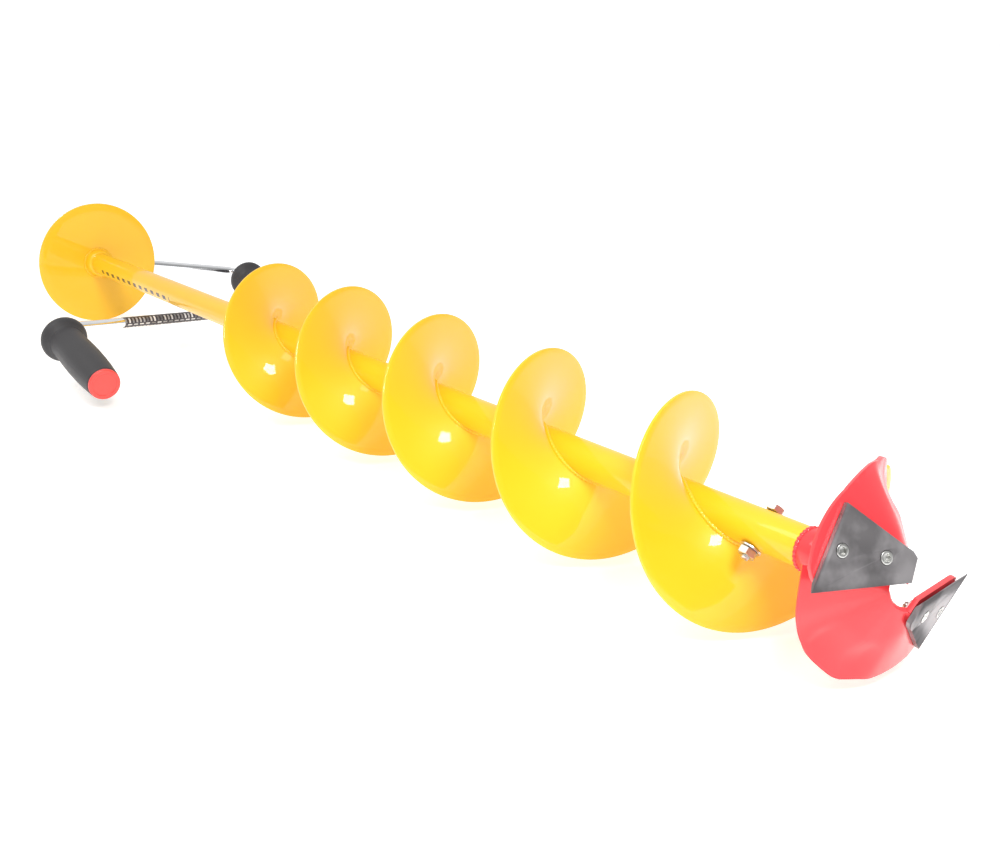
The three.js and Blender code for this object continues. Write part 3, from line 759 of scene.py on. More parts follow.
def finish(slot):
    """The material of one of the record's slots, made the first time that it is asked for."""
    name = f"{slot}_finish"
    if name in bpy.data.materials:
        return bpy.data.materials[name]
    colours = bpy.context.scene.auger_colours
    yellow = tuple(colours.yellow)
    red = tuple(colours.red)
    makers = {
        "yellow_paint": lambda: powder_coat(name, yellow, shade_of(yellow, 0.93)),
        "red_paint": lambda: powder_coat(name, red, shade_of(red, 0.9)),
        "blade_steel": lambda: ground_steel(name, tuple(colours.steel)),
        "chrome": lambda: plating(name, tuple(colours.chrome), 0.09, 500.0, 0.02),
        "zinc": lambda: plating(name, tuple(colours.zinc), 0.3, 1200.0, 0.12),
        "grip_rubber": lambda: moulded(name, tuple(colours.rubber), 0.5, 1800.0, 0.25),
        "liner_plastic": lambda: moulded(name, (0.05, 0.05, 0.05), 0.45, 1200.0, 0.15),
        "cap_plastic": lambda: moulded(name, tuple(colours.cap), 0.36, 1500.0, 0.12, 0.15),
        "label": lambda: printed_film(name),
    }
    return makers[slot]()


# ------------------------------------------------------------------ tube, disc and flight


def wrap_map(piece, radius, ahead=0.0):
    """A map on a bar about X: along it in metres, and round it in metres from the given angle."""
    for old in list(piece.data.uv_layers):
        piece.data.uv_layers.remove(old)
    layer = piece.data.uv_layers.new(name="Wrap")
    girth = 2 * math.pi
    for face in piece.data.polygons:
        middle = math.atan2(face.center.z, face.center.y) - ahead
        middle -= girth * math.floor(middle / girth)
        for loop in face.loop_indices:
            point = piece.data.vertices[piece.data.loops[loop].vertex_index].co
            angle = math.atan2(point.z, point.y) - ahead
            angle += girth * round((middle - angle) / girth)
            layer.data[loop].uv = (point.x * MM, angle * radius * MM)


def pivot_turn():
    """Turns a shape made along X so that it lies along the crank's pivot."""
    roll = Matrix.Rotation(math.radians(-FOLD["roll"]), 4, "X")
    return Matrix.Translation((PIVOT["x"], 0, 0)) @ roll @ QUARTER


def bolt_turn():
    """Turns a shape made along X so that it points from the tube's axis to the bolt's nut."""
    tilt = Matrix.Rotation(math.radians(-BOLT["tilt"]), 4, "X")
    return Matrix.Translation((BOLT["x"], 0, 0)) @ tilt @ QUARTER


def make_tube():
    """The main tube, saddled to the pivot sleeve, with the print along it."""
    radius = TUBE["radius"]
    inner = radius - TUBE["wall"]
    chamfer = TUBE["chamfer"]
    back = TUBE["back"]
    front = TUBE["front"]
    rows = int((front - back) / TUBE["row"])
    tube = turned([
        (back, inner), (back, radius - chamfer), (back + chamfer, radius),
        *[(back + k * TUBE["row"], radius) for k in range(1, rows)],
        (front - chamfer, radius), (front, radius - chamfer), (front, inner)], 72)
    reach = PIVOT["half"] + 10
    cut_with(tube, moved(bar(-reach, reach, PIVOT["outer"]), pivot_turn()))
    wrap_map(tube, radius, math.radians(PRINT["turn"]))
    settle(smooth(tube), "screw_tube", ON_SCREW, "yellow_paint", "screw", ["main_tube"])
    yellow = tuple(bpy.context.scene.auger_colours.yellow)
    tube.data.materials[0] = printed_paint("yellow_paint_printed", yellow, shade_of(yellow, 0.93))


def make_sleeve():
    """The sleeve across the tube's end, and the two halves of the weld between them."""
    half = PIVOT["half"]
    outer = PIVOT["outer"]
    bore = PIVOT["bore"]
    chamfer = 0.5
    sleeve = turned([
        (-half, bore + chamfer), (-half, outer - chamfer), (-half + chamfer, outer),
        (half - chamfer, outer), (half, outer - chamfer), (half, bore + chamfer),
        (half - chamfer, bore), (-half + chamfer, bore)], 56)
    moved(sleeve, pivot_turn())
    settle(smooth(sleeve), "fold_sleeve", ON_SCREW, "yellow_paint", "screw", ["pivot_sleeve"])
    reach = outer * 0.995
    for mark, side in (("near", -1), ("far", 1)):
        path = []
        for degrees in range(181):
            across = reach * math.cos(math.radians(degrees))
            deep = math.sqrt(TUBE["radius"] ** 2 - across ** 2)
            path.append(Vector((side * deep, -math.sqrt(outer ** 2 - across ** 2), across)))
        bead = moved(weld_bead(path), pivot_turn())
        settle(bead, f"sleeve_weld_{mark}", ON_SCREW, "yellow_paint", "screw")


def make_disc():
    """The stop disc with its rolled edge, the boss in front of it and a weld on either side."""
    tube = TUBE["radius"]
    edge = DISC["radius"]
    back = DISC_X - DISC["thickness"] / 2
    front = DISC_X + DISC["thickness"] / 2
    lip = DISC["lip"]
    near = lip * 0.3
    disc = turned([
        (back, tube), *[(back, radius) for radius in DISC_ROWS], (back, edge - lip),
        (back + near, edge - near), (DISC_X, edge), (front - near, edge - near), (front, edge - lip),
        *[(front, radius) for radius in reversed(DISC_ROWS)], (front, tube)], 144)
    settle(smooth(disc), "snow_disc", ON_SCREW, "yellow_paint", "screw", ["stop_disc"])
    end = front + DISC["collar"]
    collar = DISC["collar_radius"]
    boss = turned([
        (front, tube), (front, collar), (end - 3.5, collar - 0.9), (end - 2, collar - 1.6),
        (end - 0.6, tube + 1.4), (end, tube + 0.5), (end, tube)])
    settle(smooth(boss, 50), "disc_boss", ON_SCREW, "yellow_paint", "screw", ["disc_collar"])
    for mark, x, radius in (("back", back - 0.4, tube + 0.6), ("front", front + 0.5, collar + 0.3)):
        path = [polar(x, radius, 2 * k) for k in range(181)]
        settle(weld_bead(path), f"disc_weld_{mark}", ON_SCREW, "yellow_paint", "screw")


def flight_radius(angle):
    """The flight's outer radius, which rounds off at its two ends."""
    from_end = min(angle - FLIGHT["from"], FLIGHT["to"] - angle)
    t = min(max(from_end / FLIGHT_END["corner"], 0), 1)
    return SCREW_RADIUS - FLIGHT_END["drop"] * (1 - math.sqrt(1 - (1 - t) ** 2))


def flight_x(angle):
    return FLIGHT["pitch"] * angle / 360


def make_flight():
    """The flight as one strip that is square to its own slope, and the welds along its foot."""
    half = FLIGHT["thickness"] / 2
    swing = FLIGHT["to"] - FLIGHT["from"]
    shares = (0.0, 0.1, 0.25, 0.45, 0.7, 0.9)
    root = TUBE["radius"] - 0.2
    rings = []
    count = int(swing / FLIGHT["step"])
    for k in range(count + 1):
        angle = FLIGHT["from"] + k * swing / count
        outer = flight_radius(angle)
        section = [(-1, root + s * (outer - root)) for s in shares]
        low = outer - 0.7
        high = outer - 0.15
        section += [(-1, low), (-0.72, high), (0, outer), (0.72, high), (1, low)]
        section += [(1, root + s * (outer - root)) for s in reversed(shares)]
        points = []
        for side, radius in section:
            slope = FLIGHT["pitch"] / (2 * math.pi * radius)
            x = flight_x(angle) + side * half * math.sqrt(1 + slope ** 2)
            points.append(polar(x, radius, angle + FLIGHT["phase"]))
        rings.append(points)
    nodes = [f"screw_turn_{i + 1}" for i in range(5)]
    settle(smooth(skin(rings), 40), "screw_flight", ON_SCREW, "yellow_paint", "screw", nodes)
    slope = FLIGHT["pitch"] / (2 * math.pi * TUBE["radius"])
    offset = half * math.sqrt(1 + slope ** 2) + 0.9
    short = 4
    steps = int(swing * 0.75)
    for mark, side in (("back", -1), ("front", 1)):
        path = []
        for k in range(steps + 1):
            angle = FLIGHT["from"] + short + k * (swing - 2 * short) / steps
            x = flight_x(angle) + side * offset
            path.append(polar(x, TUBE["radius"] + 0.1, angle + FLIGHT["phase"]))
        settle(weld_bead(path), f"flight_weld_{mark}", ON_SCREW, "yellow_paint", "screw")


# ------------------------------------------------------------------ cutting head


def blade_frame():
    """The frame of one blade: X away from the cutting edge, Y outwards along it, Z out of the front."""
    back = BLADE_EDGE.cross(BLADE_NORMAL)
    turn = Matrix((back, BLADE_EDGE, BLADE_NORMAL)).transposed().to_4x4()
    return Matrix.Translation(BLADE_CORNER) @ turn


def on_pad(back, along):
    """A point on the plate's pad behind the blade."""
    return blade_frame() @ Vector((back, along, -BLADE["thickness"] - SEAT))


def pad_height(y, z):
    """How far along X the pad's plane lies over this place."""
    foot = on_pad(0, 0)
    return foot.x - (BLADE_NORMAL.y * (y - foot.y) + BLADE_NORMAL.z * (z - foot.z)) / BLADE_NORMAL.x


def plate_edges():
    """A head plate's outer and inner edges as equally long rows of points."""
    outer = [on_pad(*place) for place in PAD_OUTER]
    steps = int((RIM["start"] - RIM["horn"]) / RIM["step"])
    crease = len(outer) + int((RIM["start"] - RIM["crease"]) / RIM["step"])
    for k in range(steps + 1):
        angle = RIM["start"] - k * RIM["step"]
        rise = (angle - RIM["horn"]) / (RIM["crease"] - RIM["horn"])
        point = polar(0, RIM["horn_r"] + (RIM["crease_r"] - RIM["horn_r"]) * ease(3 * rise), angle)
        fall = max(0, 1 - rise) ** 1.4
        free = RIM["crease_x"] + (RIM["horn_x"] - RIM["crease_x"]) * fall
        point.x = pad_height(point.y, point.z) if angle >= RIM["crease"] else free
        outer.append(point)
    outer += catmull([Vector(place) for place in PLATE_CUT], 42)
    (back, along), (last_back, last_along) = PAD_INNER
    inner = [
        on_pad(back + (last_back - back) * k / crease, along + (last_along - along) * k / crease)
        for k in range(crease + 1)
    ]
    start = inner[-1]
    angle = math.degrees(math.atan2(start.z, start.y))
    radius = math.hypot(start.y, start.z)
    rest = len(outer) - 1 - crease
    for k in range(1, rest + 1):
        t = k / rest
        inner.append(polar(
            start.x + (PLATE_EYE["x"] - start.x) * math.sqrt(t),
            radius + (PLATE_EYE["radius"] - radius) * t,
            angle + (PLATE_EYE["tail"] - angle) * t))
    return outer, inner


def plate_row(inner, outer, columns=22):
    """One row across a plate. Beside the crease it stays on the pad out to the bend, then falls."""
    near = math.hypot(inner.y, inner.z)
    far = math.hypot(outer.y, outer.z)
    turn = (PLATE["bend"] - near) / (far - near)
    bend = inner.lerp(outer, turn)
    angle = math.degrees(math.atan2(outer.z, outer.y))
    flat = ease((angle - PLATE["bend_end"]) / (RIM["crease"] - PLATE["bend_end"]))
    lift = flat * (pad_height(bend.y, bend.z) - bend.x)
    dish = HORN_DISH * ease((HORN_DISH_ENDS[0] - angle) / 14) * ease((angle - HORN_DISH_ENDS[1]) / 14)
    row = []
    for k in range(columns):
        t = k / (columns - 1)
        share = t / turn if t < turn else (1 - t) / (1 - turn)
        point = inner.lerp(outer, t)
        point.x += lift * (share * 0.6 + ease(share) * 0.4)
        point.x -= dish * math.sin(math.pi * max(0, (t - 0.5) / 0.5))
        row.append(point)
    return row


def make_plate():
    """A head plate: a pressed sheet with a flat pad for the blade and a free half that slopes back."""
    outer, inner = plate_edges()
    rows = [plate_row(a, b) for a, b in zip(inner, outer)]
    clear_selection()
    bpy.ops.mesh.primitive_grid_add(
        x_subdivisions=len(rows[0]) - 1, y_subdivisions=len(rows) - 1, size=1)
    plate = bpy.context.object
    points = [point for row in rows for point in row]
    for vertex, point in zip(plate.data.vertices, points):
        vertex.co = point
    middle = plate.data.polygons[len(plate.data.polygons) // 2]
    if middle.normal.x < 0:
        in_edit_mode(plate, lambda: bpy.ops.mesh.flip_normals())
    apply_modifier(plate, "SOLIDIFY", thickness=PLATE["thickness"], offset=-1, use_even_offset=True)
    in_edit_mode(plate, lambda: bpy.ops.mesh.normals_make_consistent(inside=False))
    seat = bar(HUB["spigot_back"], HUB["front"] + SEAT, HUB["radius"] + SEAT, 64)
    cut_with(plate, seat, solver="MANIFOLD")
    for back, along in SCREW_PLACES:
        hole = bar(-12, 4, BLADE_SCREW["radius"] + SEAT, 32)
        moved(hole, blade_frame() @ Matrix.Translation((back, along, 0)) @ STAND_UP)
        cut_with(plate, hole, solver="MANIFOLD")
    return soften(plate, bpy.context.scene.auger_details.edge / MM, 3, 50)


def make_rib():
    """The stay behind a head plate."""
    under = -RIB["thickness"] / 2
    rib = sheet([(along, radius, under) for along, radius in RIB["outline"]], RIB["thickness"])
    moved(rib, Matrix.Rotation(math.radians(RIB["angle"]), 4, "X"))
    return soften(rib, bpy.context.scene.auger_details.edge / MM, 3)


def make_hub():
    """The socket that carries both plates, with its spigot for the tube and the weld round its neck."""
    back = HUB["spigot_back"]
    spigot = HUB["spigot"]
    front = HUB["front"]
    radius = HUB["radius"]
    neck = TUBE["front"] + 0.3
    rim = 0.8
    near = rim * 0.3
    hub = turned([
        (back, HUB["bore"]), (back, spigot - 0.6), (back + 0.6, spigot), (neck, spigot),
        (neck, radius - rim), (neck + near, radius - near), (neck + rim, radius),
        (neck + 10, radius), (neck + 20, radius), (front - rim, radius),
        (front - near, radius - near), (front, radius - rim),
        (front, HUB["bore"] + 0.4), (front - 0.4, HUB["bore"])])
    settle(smooth(hub), "head_socket", ON_SCREW, "red_paint", "screw", ["head_hub"])
    path = [polar(neck + 0.9, radius - 0.8, k) for k in range(361)]
    settle(weld_bead(path), "head_socket_weld", ON_SCREW, "red_paint", "screw")


def make_blade():
    """A ground blade with two countersunk holes and a chisel bevel behind its cutting edge."""
    under = -BLADE["thickness"]
    slope = Vector((-BLADE["bevel_drop"], 0, -BLADE["bevel"])).normalized()
    blade = sheet(
        [(back, along, under) for back, along in BLADE_OUTLINE], BLADE["thickness"],
        lambda: bpy.ops.mesh.bisect(
            plane_co=(BLADE["bevel"], 0, under), plane_no=slope, use_fill=True, clear_outer=True))
    wide = BLADE_SCREW["head"] + 0.35
    bore = BLADE_SCREW["radius"] + SEAT
    for back, along in SCREW_PLACES:
        hole = turned([
            (under - 1, 0), (under - 1, bore), (-BLADE_SCREW["sink"] - 0.2, bore),
            (0, wide), (1, wide), (1, 0)], 48)
        cut_with(blade, moved(hole, Matrix.Translation((back, along, 0)) @ STAND_UP))
    return soften(blade, 0.22, 2, 25)


def make_blade_screw():
    """A countersunk screw about X: its head stands just proud of X = 0, with a hexagon socket in it."""
    size = BLADE_SCREW
    tail = -BLADE["thickness"] - 2 * SEAT - PLATE["thickness"] - size["nut"] - size["tail"]
    neck = tail + size["tail"] + 0.5
    screw = turned([
        (neck, 0), (neck, size["radius"] - 0.3), (-size["sink"], size["radius"]),
        (0, size["head"] - 0.12), (0.12, size["head"]), (0.3, size["head"] - 0.1),
        (0.42, size["head"] - 0.5), (0.42, 0)], 48)
    clear_selection()
    bpy.ops.mesh.primitive_cylinder_add(vertices=6, radius=2.35, depth=3.2)
    socket = moved(bpy.context.object, Matrix.Rotation(math.pi / 2, 4, "Y"))
    cut_with(screw, socket)
    thread = threaded(tail, neck + 0.5, size["radius"], 0.8)
    return joined(soften(screw, 0.1, 2, 40), thread)


def make_head():
    """Both halves of the head: each piece is made once, and copied to either side of the axis."""
    size = BLADE_SCREW
    plate = make_plate()
    rib = make_rib()
    blade = make_blade()
    screw = make_blade_screw()
    nut_front = -BLADE["thickness"] - 2 * SEAT - PLATE["thickness"]
    nut = six_sided(nut_front - size["nut"], nut_front, size["flats"], size["radius"])
    weld_run = (RIB_WELD["to"] - RIB_WELD["from"]) / (RIB_WELD["points"] - 1)
    for mark, turn in (("a", 0), ("b", math.pi)):
        half = ON_SCREW @ Matrix.Rotation(turn, 4, "X")
        on_blade = half @ blade_frame()
        plate_node = f"head_plate_{mark}"
        settle(copy_of(plate), f"cutter_plate_{mark}", half, "red_paint", "screw", [plate_node])
        settle(copy_of(rib), f"plate_stay_{mark}", half, "red_paint", "screw", [f"head_rib_{mark}"])
        for name, side in (("low", -1), ("high", 1)):
            angle = RIB["angle"] + side * RIB_WELD["angle"]
            run = [polar(RIB_WELD["from"] + weld_run * k, HUB["radius"] + 0.3, angle)
                   for k in range(RIB_WELD["points"])]
            settle(weld_bead(run), f"stay_weld_{mark}_{name}", half, "red_paint", "screw")
        settle(copy_of(blade), f"cutter_{mark}", on_blade, "blade_steel", "screw", [f"blade_{mark}"])
        for i, (back, along) in enumerate(SCREW_PLACES):
            spin = Matrix.Rotation(math.radians(23 + 31 * i), 4, "X")
            place = on_blade @ Matrix.Translation((back, along, 0)) @ STAND_UP @ spin
            number = f"{mark}{i + 1}"
            for piece, name in ((screw, "screw"), (nut, "nut")):
                settle(
                    copy_of(piece), f"cutter_{name}_{number}", place, "zinc", "screw",
                    [f"blade_{name}_{number}"])
    for pattern in (plate, rib, blade, screw, nut):
        bpy.data.objects.remove(pattern)


def make_head_bolt():
    """The bolt through the tube and the socket's spigot, with its washer and nut."""
    radius = BOLT["radius"]
    seat = TUBE["radius"] + 0.15
    face = seat + BOLT["washer"]
    nut_end = face + 0.2 + BOLT["nut"]
    place = ON_SCREW @ bolt_turn()
    head = six_sided(-seat - BOLT["head"], -seat, BOLT["flats"])
    shank = bar(-seat - 1, seat, radius, 32)
    stub = moved(threaded(-nut_end - 2, -seat, radius, 0.8), Matrix.Rotation(math.pi, 4, "Z"))
    bolt = joined(head, shank, stub)
    settle(bolt, "cross_bolt", place, "zinc", "screw", ["head_bolt"])
    washer = soften(ring(seat, face, radius + 0.2, BOLT["washer_r"], 48), 0.15)
    settle(washer, "cross_bolt_washer", place, "zinc", "screw", ["head_bolt_washer"])
    nut = six_sided(face + 0.1, nut_end, BOLT["flats"], radius)
    settle(nut, "cross_bolt_nut", place, "zinc", "screw", ["head_bolt_nut"])


# ------------------------------------------------------------------ crank


def crank_corners():
    """The corners of the bar's middle line, from its threaded end to the end of the top grip."""
    slant = math.radians(ARM["slant"])
    begin = Vector((0, THREAD["end"] + THREAD["length"] - THREAD["lap"], 0))
    first = Vector((0, ARM["first"], 0))
    top = first + Vector((ARM["grip"], 0, 0))
    end = top + Vector((math.sin(slant), -math.cos(slant), 0)) * ARM["second"]
    return [begin, first, top, end, end + Vector((ARM["stub"], 0, 0))]


def bent_path(corners, radius, row=12, bend_steps=28):
    """A path through the corners with a round bend at each inner one, and a point per row between."""
    path = [corners[0].copy()]

    def straight_to(end):
        run = end - path[-1]
        count = max(1, int(run.length / row))
        return [path[-1] + run * ((k + 1) / count) for k in range(count)]

    for before, corner, after in zip(corners, corners[1:], corners[2:]):
        come = (corner - before).normalized()
        go = (after - corner).normalized()
        angle = come.angle(go)
        side = (go - come * go.dot(come)).normalized()
        start = corner - come * (radius * math.tan(angle / 2))
        path += straight_to(start)[:-1]
        centre = start + side * radius
        for k in range(bend_steps + 1):
            turn = angle * k / bend_steps
            path.append(centre + (come * math.sin(turn) - side * math.cos(turn)) * radius)
    return path + straight_to(corners[-1])


def make_rod():
    """The bent bar, broken at its free end, and the thread on its other end."""
    chamfer = 0.8
    path = bent_path(crank_corners(), ROD["bend"])
    total = sum((b - a).length for a, b in zip(path, path[1:]))
    last = path[-1]
    back = (path[-2] - last).normalized()
    path[-1:] = [last + back * chamfer, last]

    def radius_at(distance):
        return ROD["radius"] - chamfer * max(0, min(1, (distance - total + chamfer) / chamfer))

    rod = smooth(swept(path, radius_at, 40), 35)
    settle(rod, "crank_bar", ON_CRANK, "chrome", "crank", ["crank_rod"])
    start = THREAD["end"]
    thread = threaded(start, start + THREAD["length"], ROD["radius"] - 0.1, THREAD["pitch"])
    settle(moved(thread, QUARTER), "crank_bar_thread", ON_CRANK, "chrome", "crank")


def make_label():
    """The label wrapped round the second arm, with a map of its own for the print."""
    inner = ROD["radius"] + 0.05
    outer = inner + LABEL["thickness"]
    start = LABEL["from"]
    end = LABEL["to"]
    rows = LABEL["rows"]
    outside = [(start + (end - start) * k / rows, outer) for k in range(rows + 1)]
    label = turned([(start, inner), *outside, (end, inner)], 48)
    wrap_map(label, outer)
    lie = Matrix.Rotation(math.radians(ARM["slant"] - 90), 4, "Z")
    place = ON_CRANK @ Matrix.Translation(crank_corners()[2]) @ lie
    settle(smooth(label), "bar_label", place, "label", "crank", ["arm_label"])


def make_wing_nut():
    """A cast wing nut: a round boss with two ears, its hard corners melted together."""
    start = -PIVOT["half"] - WING_NUT["gap"]
    end = start - WING_NUT["length"]
    boss = turned([
        (end, 0), (end, 6.6), (end + 0.8, 7.4), (start - 1.5, 9), (start, 9), (start, 0)], 48)
    far_side = [(-across, along) for across, along in reversed(WING_OUTLINE)]
    far_crest = [(-across, along) for across, along in WING_CREST]
    loop = [*WING_OUTLINE, *far_side, *far_crest, (0, 4.6), *reversed(WING_CREST)]
    thick = WING_NUT["ear"]
    middle = start - WING_NUT["ear_middle"]
    ears = sheet([(middle + along, across, -thick / 2) for across, along in loop], thick)
    cut_with(boss, ears, "UNION")
    cut_with(boss, bar(end - 14, start + 2, WING_NUT["bore"], 40))
    apply_modifier(boss, "REMESH", mode="VOXEL", voxel_size=0.42)
    apply_modifier(boss, "SMOOTH", factor=0.5, iterations=6)
    moved(smooth(boss, 60), QUARTER)
    settle(boss, "fold_wing_nut", ON_CRANK, "zinc", "wing_nut", ["wing_nut"])


def make_pivot_hardware():
    """The collar and the washer at the two ends of the sleeve."""
    edge = PIVOT["half"] + 0.3
    bore = ROD["radius"] + 0.1
    collar = soften(ring(edge, edge + 7, bore, PIVOT["outer"] - 0.5, 48), 0.6, 3)
    settle(moved(collar, QUARTER), "fold_collar", ON_CRANK, "zinc", "crank", ["pivot_collar"])
    washer = soften(ring(-edge - 1.5, -edge, bore, PIVOT["outer"] + 1, 48), 0.2)
    settle(moved(washer, QUARTER), "fold_washer", ON_CRANK, "zinc", "crank", ["pivot_washer"])


def grip_outline(start, end):
    """A grip's outside: a round guard, a waist behind it, a belly and a slimmer end."""
    guard = start + 9
    length = end - start
    top = GRIP["guard"]
    belly = GRIP["belly"]
    mouth = GRIP["mouth"]
    points = [
        (start, LINER["outer"] + 2.4), (start + 0.5, 16), (start + 1.6, 19.6), (start + 4.2, 22.3),
        (guard - 1.6, top), (guard + 1.8, top - 0.1), (guard + 4.6, 22.0),
        (guard + 7.2, 19.8), (guard + 10, 18.0), (guard + 14, GRIP["neck"]),
        (start + 0.38 * length, belly - 0.35), (start + 0.55 * length, belly),
        (end - 34, belly - 0.4), (end - 18, belly - 1.2), (end - 6, mouth + 0.4),
        (end - 1.6, mouth), (end - 0.5, mouth - 0.4), (end, mouth - 1.3),
    ]
    curve = catmull([Vector((x, r, 0)) for x, r in points], 90)
    return [(p.x, p.y) for p in curve]


def make_grip(name, span, corner, body, node, open_end):
    """A grip's sleeve. An open end has a recess for a cap, and a closed one runs down to the bush."""
    start, end = span
    bore = LINER["outer"] + 0.1
    recess = GRIP["recess"]
    inside = [(end, bore + 1.2), (end - 1, bore)]
    if open_end:
        floor = end - GRIP["recess_depth"]
        inside = [(end, recess + 0.5), (end - 0.5, recess), (floor, recess), (floor, bore)]
    sleeve = turned([(start, bore), *grip_outline(start, end), *inside], 72)
    place = ON_CRANK @ Matrix.Translation(corner)
    settle(smooth(sleeve, 45), name, place, "grip_rubber", body, [node])


def make_seam(name, span, corner, body):
    """The fine line that a grip's mould leaves along its two sides."""
    start, end = span
    outline = grip_outline(start, end)[14:-4]
    for mark, side in (("near", -1), ("far", 1)):
        path = [Vector((x, side * (r - 0.05), 0)) for x, r in outline]
        seam = smooth(swept(path, lambda distance: 0.2, 6), 80)
        settle(seam, f"{name}_seam_{mark}", ON_CRANK @ Matrix.Translation(corner), "grip_rubber", body)


def make_grips():
    """Both grips with their bushes, and the rings and the clip that keep them on the bar."""
    _, first_end, _, second_end, _ = crank_corners()
    make_grip("grip_mid", MID_GRIP, first_end, "mid_grip", "mid_grip_sleeve", False)
    make_grip("grip_top", TOP_GRIP, second_end, "top_grip", "top_grip_sleeve", True)
    make_seam("grip_mid", MID_GRIP, first_end, "mid_grip")
    make_seam("grip_top", TOP_GRIP, second_end, "top_grip")
    liner_end = TOP_GRIP[1] - GRIP["recess_depth"]
    liners = (
        ("grip_mid_bush", MID_GRIP[0], MID_GRIP[1], first_end, "mid_grip", "mid_grip_liner"),
        ("grip_top_bush", TOP_GRIP[0], liner_end, second_end, "top_grip", "top_grip_liner"),
    )
    for name, start, end, corner, body, node in liners:
        bush = soften(ring(start + 0.5, end - 0.5, LINER["inner"], LINER["outer"], 48), 0.3)
        settle(bush, name, ON_CRANK @ Matrix.Translation(corner), "liner_plastic", body, [node])
    thick = STOP["thickness"]
    before = thick + STOP["gap"]
    after = STOP["gap"]
    stops = (
        ("grip_mid_ring_in", MID_GRIP[0] - before, STOP["ring"], first_end, "mid_grip_ring_inner"),
        ("grip_mid_ring_out", MID_GRIP[1] + after, STOP["ring"], first_end, "mid_grip_ring_outer"),
        ("grip_top_ring_in", TOP_GRIP[0] - before, STOP["ring"], second_end, "top_grip_ring"),
        ("grip_top_clip", liner_end + 1, STOP["clip"], second_end, "top_grip_clip"),
    )
    for name, start, outer, corner, node in stops:
        stop = soften(ring(start, start + thick, ROD["radius"] + 0.05, outer, 48), 0.3)
        settle(stop, name, ON_CRANK @ Matrix.Translation(corner), "zinc", "crank", [node])


def make_cap():
    """The red cap that closes the top grip: a plug, a flat face with a round rim and a shallow dish."""
    outer = CAP["radius"]
    mouth = TOP_GRIP[1] + 0.3
    face = mouth + CAP["face"]
    back = mouth - CAP["plug"]
    plug = GRIP["recess"] - 0.3
    cap = turned([
        (back, 0), (back, plug - 0.6), (back + 0.6, plug), (mouth, plug),
        (mouth, outer - 0.3), (mouth + 0.4, outer), (face - 1.2, outer), (face - 0.5, outer - 0.3),
        (face - 0.1, outer - 1.0), (face, outer - 1.9), (face, outer - 3.6),
        (face - 0.5, outer - 4.1), (face - 0.5, 0.9), (face - 0.4, 0)])
    place = ON_CRANK @ Matrix.Translation(crank_corners()[3])
    settle(smooth(cap, 40), "grip_top_cap", place, "cap_plastic", "top_grip", ["top_grip_cap"])


# ------------------------------------------------------------------ studio


def make_camera():
    """The camera off the blade end, looking back along the auger."""
    spot = CAMERA_SPOT * SCREW_RADIUS * MM + START
    up = CAMERA_RIGHT.cross(CAMERA_FORWARD)
    turn = Matrix((CAMERA_RIGHT, up, -CAMERA_FORWARD)).transposed().to_4x4()
    data = bpy.data.cameras.new("camera")
    data.lens = bpy.context.scene.auger_studio.lens
    data.clip_start = 0.02
    camera = bpy.data.objects.new("camera", data)
    camera.matrix_world = Matrix.Translation(spot) @ turn
    bpy.context.scene.collection.objects.link(camera)
    bpy.context.scene.camera = camera


def add_light(name, spot, aim, size, power):
    """A rectangular lamp at a spot, turned towards its aim."""
    data = bpy.data.lights.new(name, "AREA")
    data.shape = "RECTANGLE"
    data.size, data.size_y = size
    data.energy = power
    light = bpy.data.objects.new(name, data)
    light.location = spot
    light.rotation_euler = (Vector(aim) - Vector(spot)).to_track_quat("-Z", "Y").to_euler()
    bpy.context.scene.collection.objects.link(light)


def make_floor():
    """A pale floor that carries on past the edges of the view."""
    clear_selection()
    bpy.ops.mesh.primitive_grid_add(x_subdivisions=8, y_subdivisions=8, size=40)
    floor = bpy.context.object
    floor.name = "floor"
    material, tree, shader = start_finish(
        "floor_paper", roughness=0.75, specular_ior_level=0.2,
        emission_color=(1, 1, 1, 1), emission_strength=0.4)
    cloud = place_effect(tree, cloud_effect(), (-900, 300), scale=2.0)
    paper = blend_colour(tree, cloud, (0.93, 0.93, 0.935), (0.95, 0.95, 0.95))
    tree.links.new(paper, shader.inputs["Base Color"])
    floor.data.materials.append(material)


def make_surround(strength, shade):
    """A white studio, darker in front of the blades. What is seen beyond the floor stays white."""
    world = bpy.data.worlds.new("surround")
    world.use_nodes = True
    tree = world.node_tree
    backdrop = tree.nodes["Background"]
    backdrop.inputs["Color"].default_value = (1, 1, 1, 1)
    place = add_node(tree, "ShaderNodeTexCoord", (-1000, 0))
    split = add_node(tree, "ShaderNodeSeparateXYZ", (-800, 0))
    fade = add_node(
        tree, "ShaderNodeMapRange", (-600, 0), interpolation_type="SMOOTHSTEP",
        from_min=-0.1, from_max=0.85, to_min=strength, to_max=shade)
    ray = add_node(tree, "ShaderNodeLightPath", (-600, 300))
    seen = add_node(tree, "ShaderNodeMix", (-300, 0), data_type="FLOAT")
    seen.inputs["B"].default_value = 1.1
    tree.links.new(place.outputs["Generated"], split.inputs[0])
    tree.links.new(split.outputs["X"], fade.inputs["Value"])
    tree.links.new(ray.outputs["Is Camera Ray"], seen.inputs["Factor"])
    tree.links.new(fade.outputs["Result"], seen.inputs["A"])
    tree.links.new(seen.outputs["Result"], backdrop.inputs["Strength"])
    bpy.context.scene.world = world


# ------------------------------------------------------------------ operators and panel


class MakeOperator:
    """Runs the makers of one group of pieces in order."""

    bl_options = {"REGISTER", "UNDO"}
    makers = ()

    def execute(self, context):
        for make in self.makers:
            make()
        return {"FINISHED"}


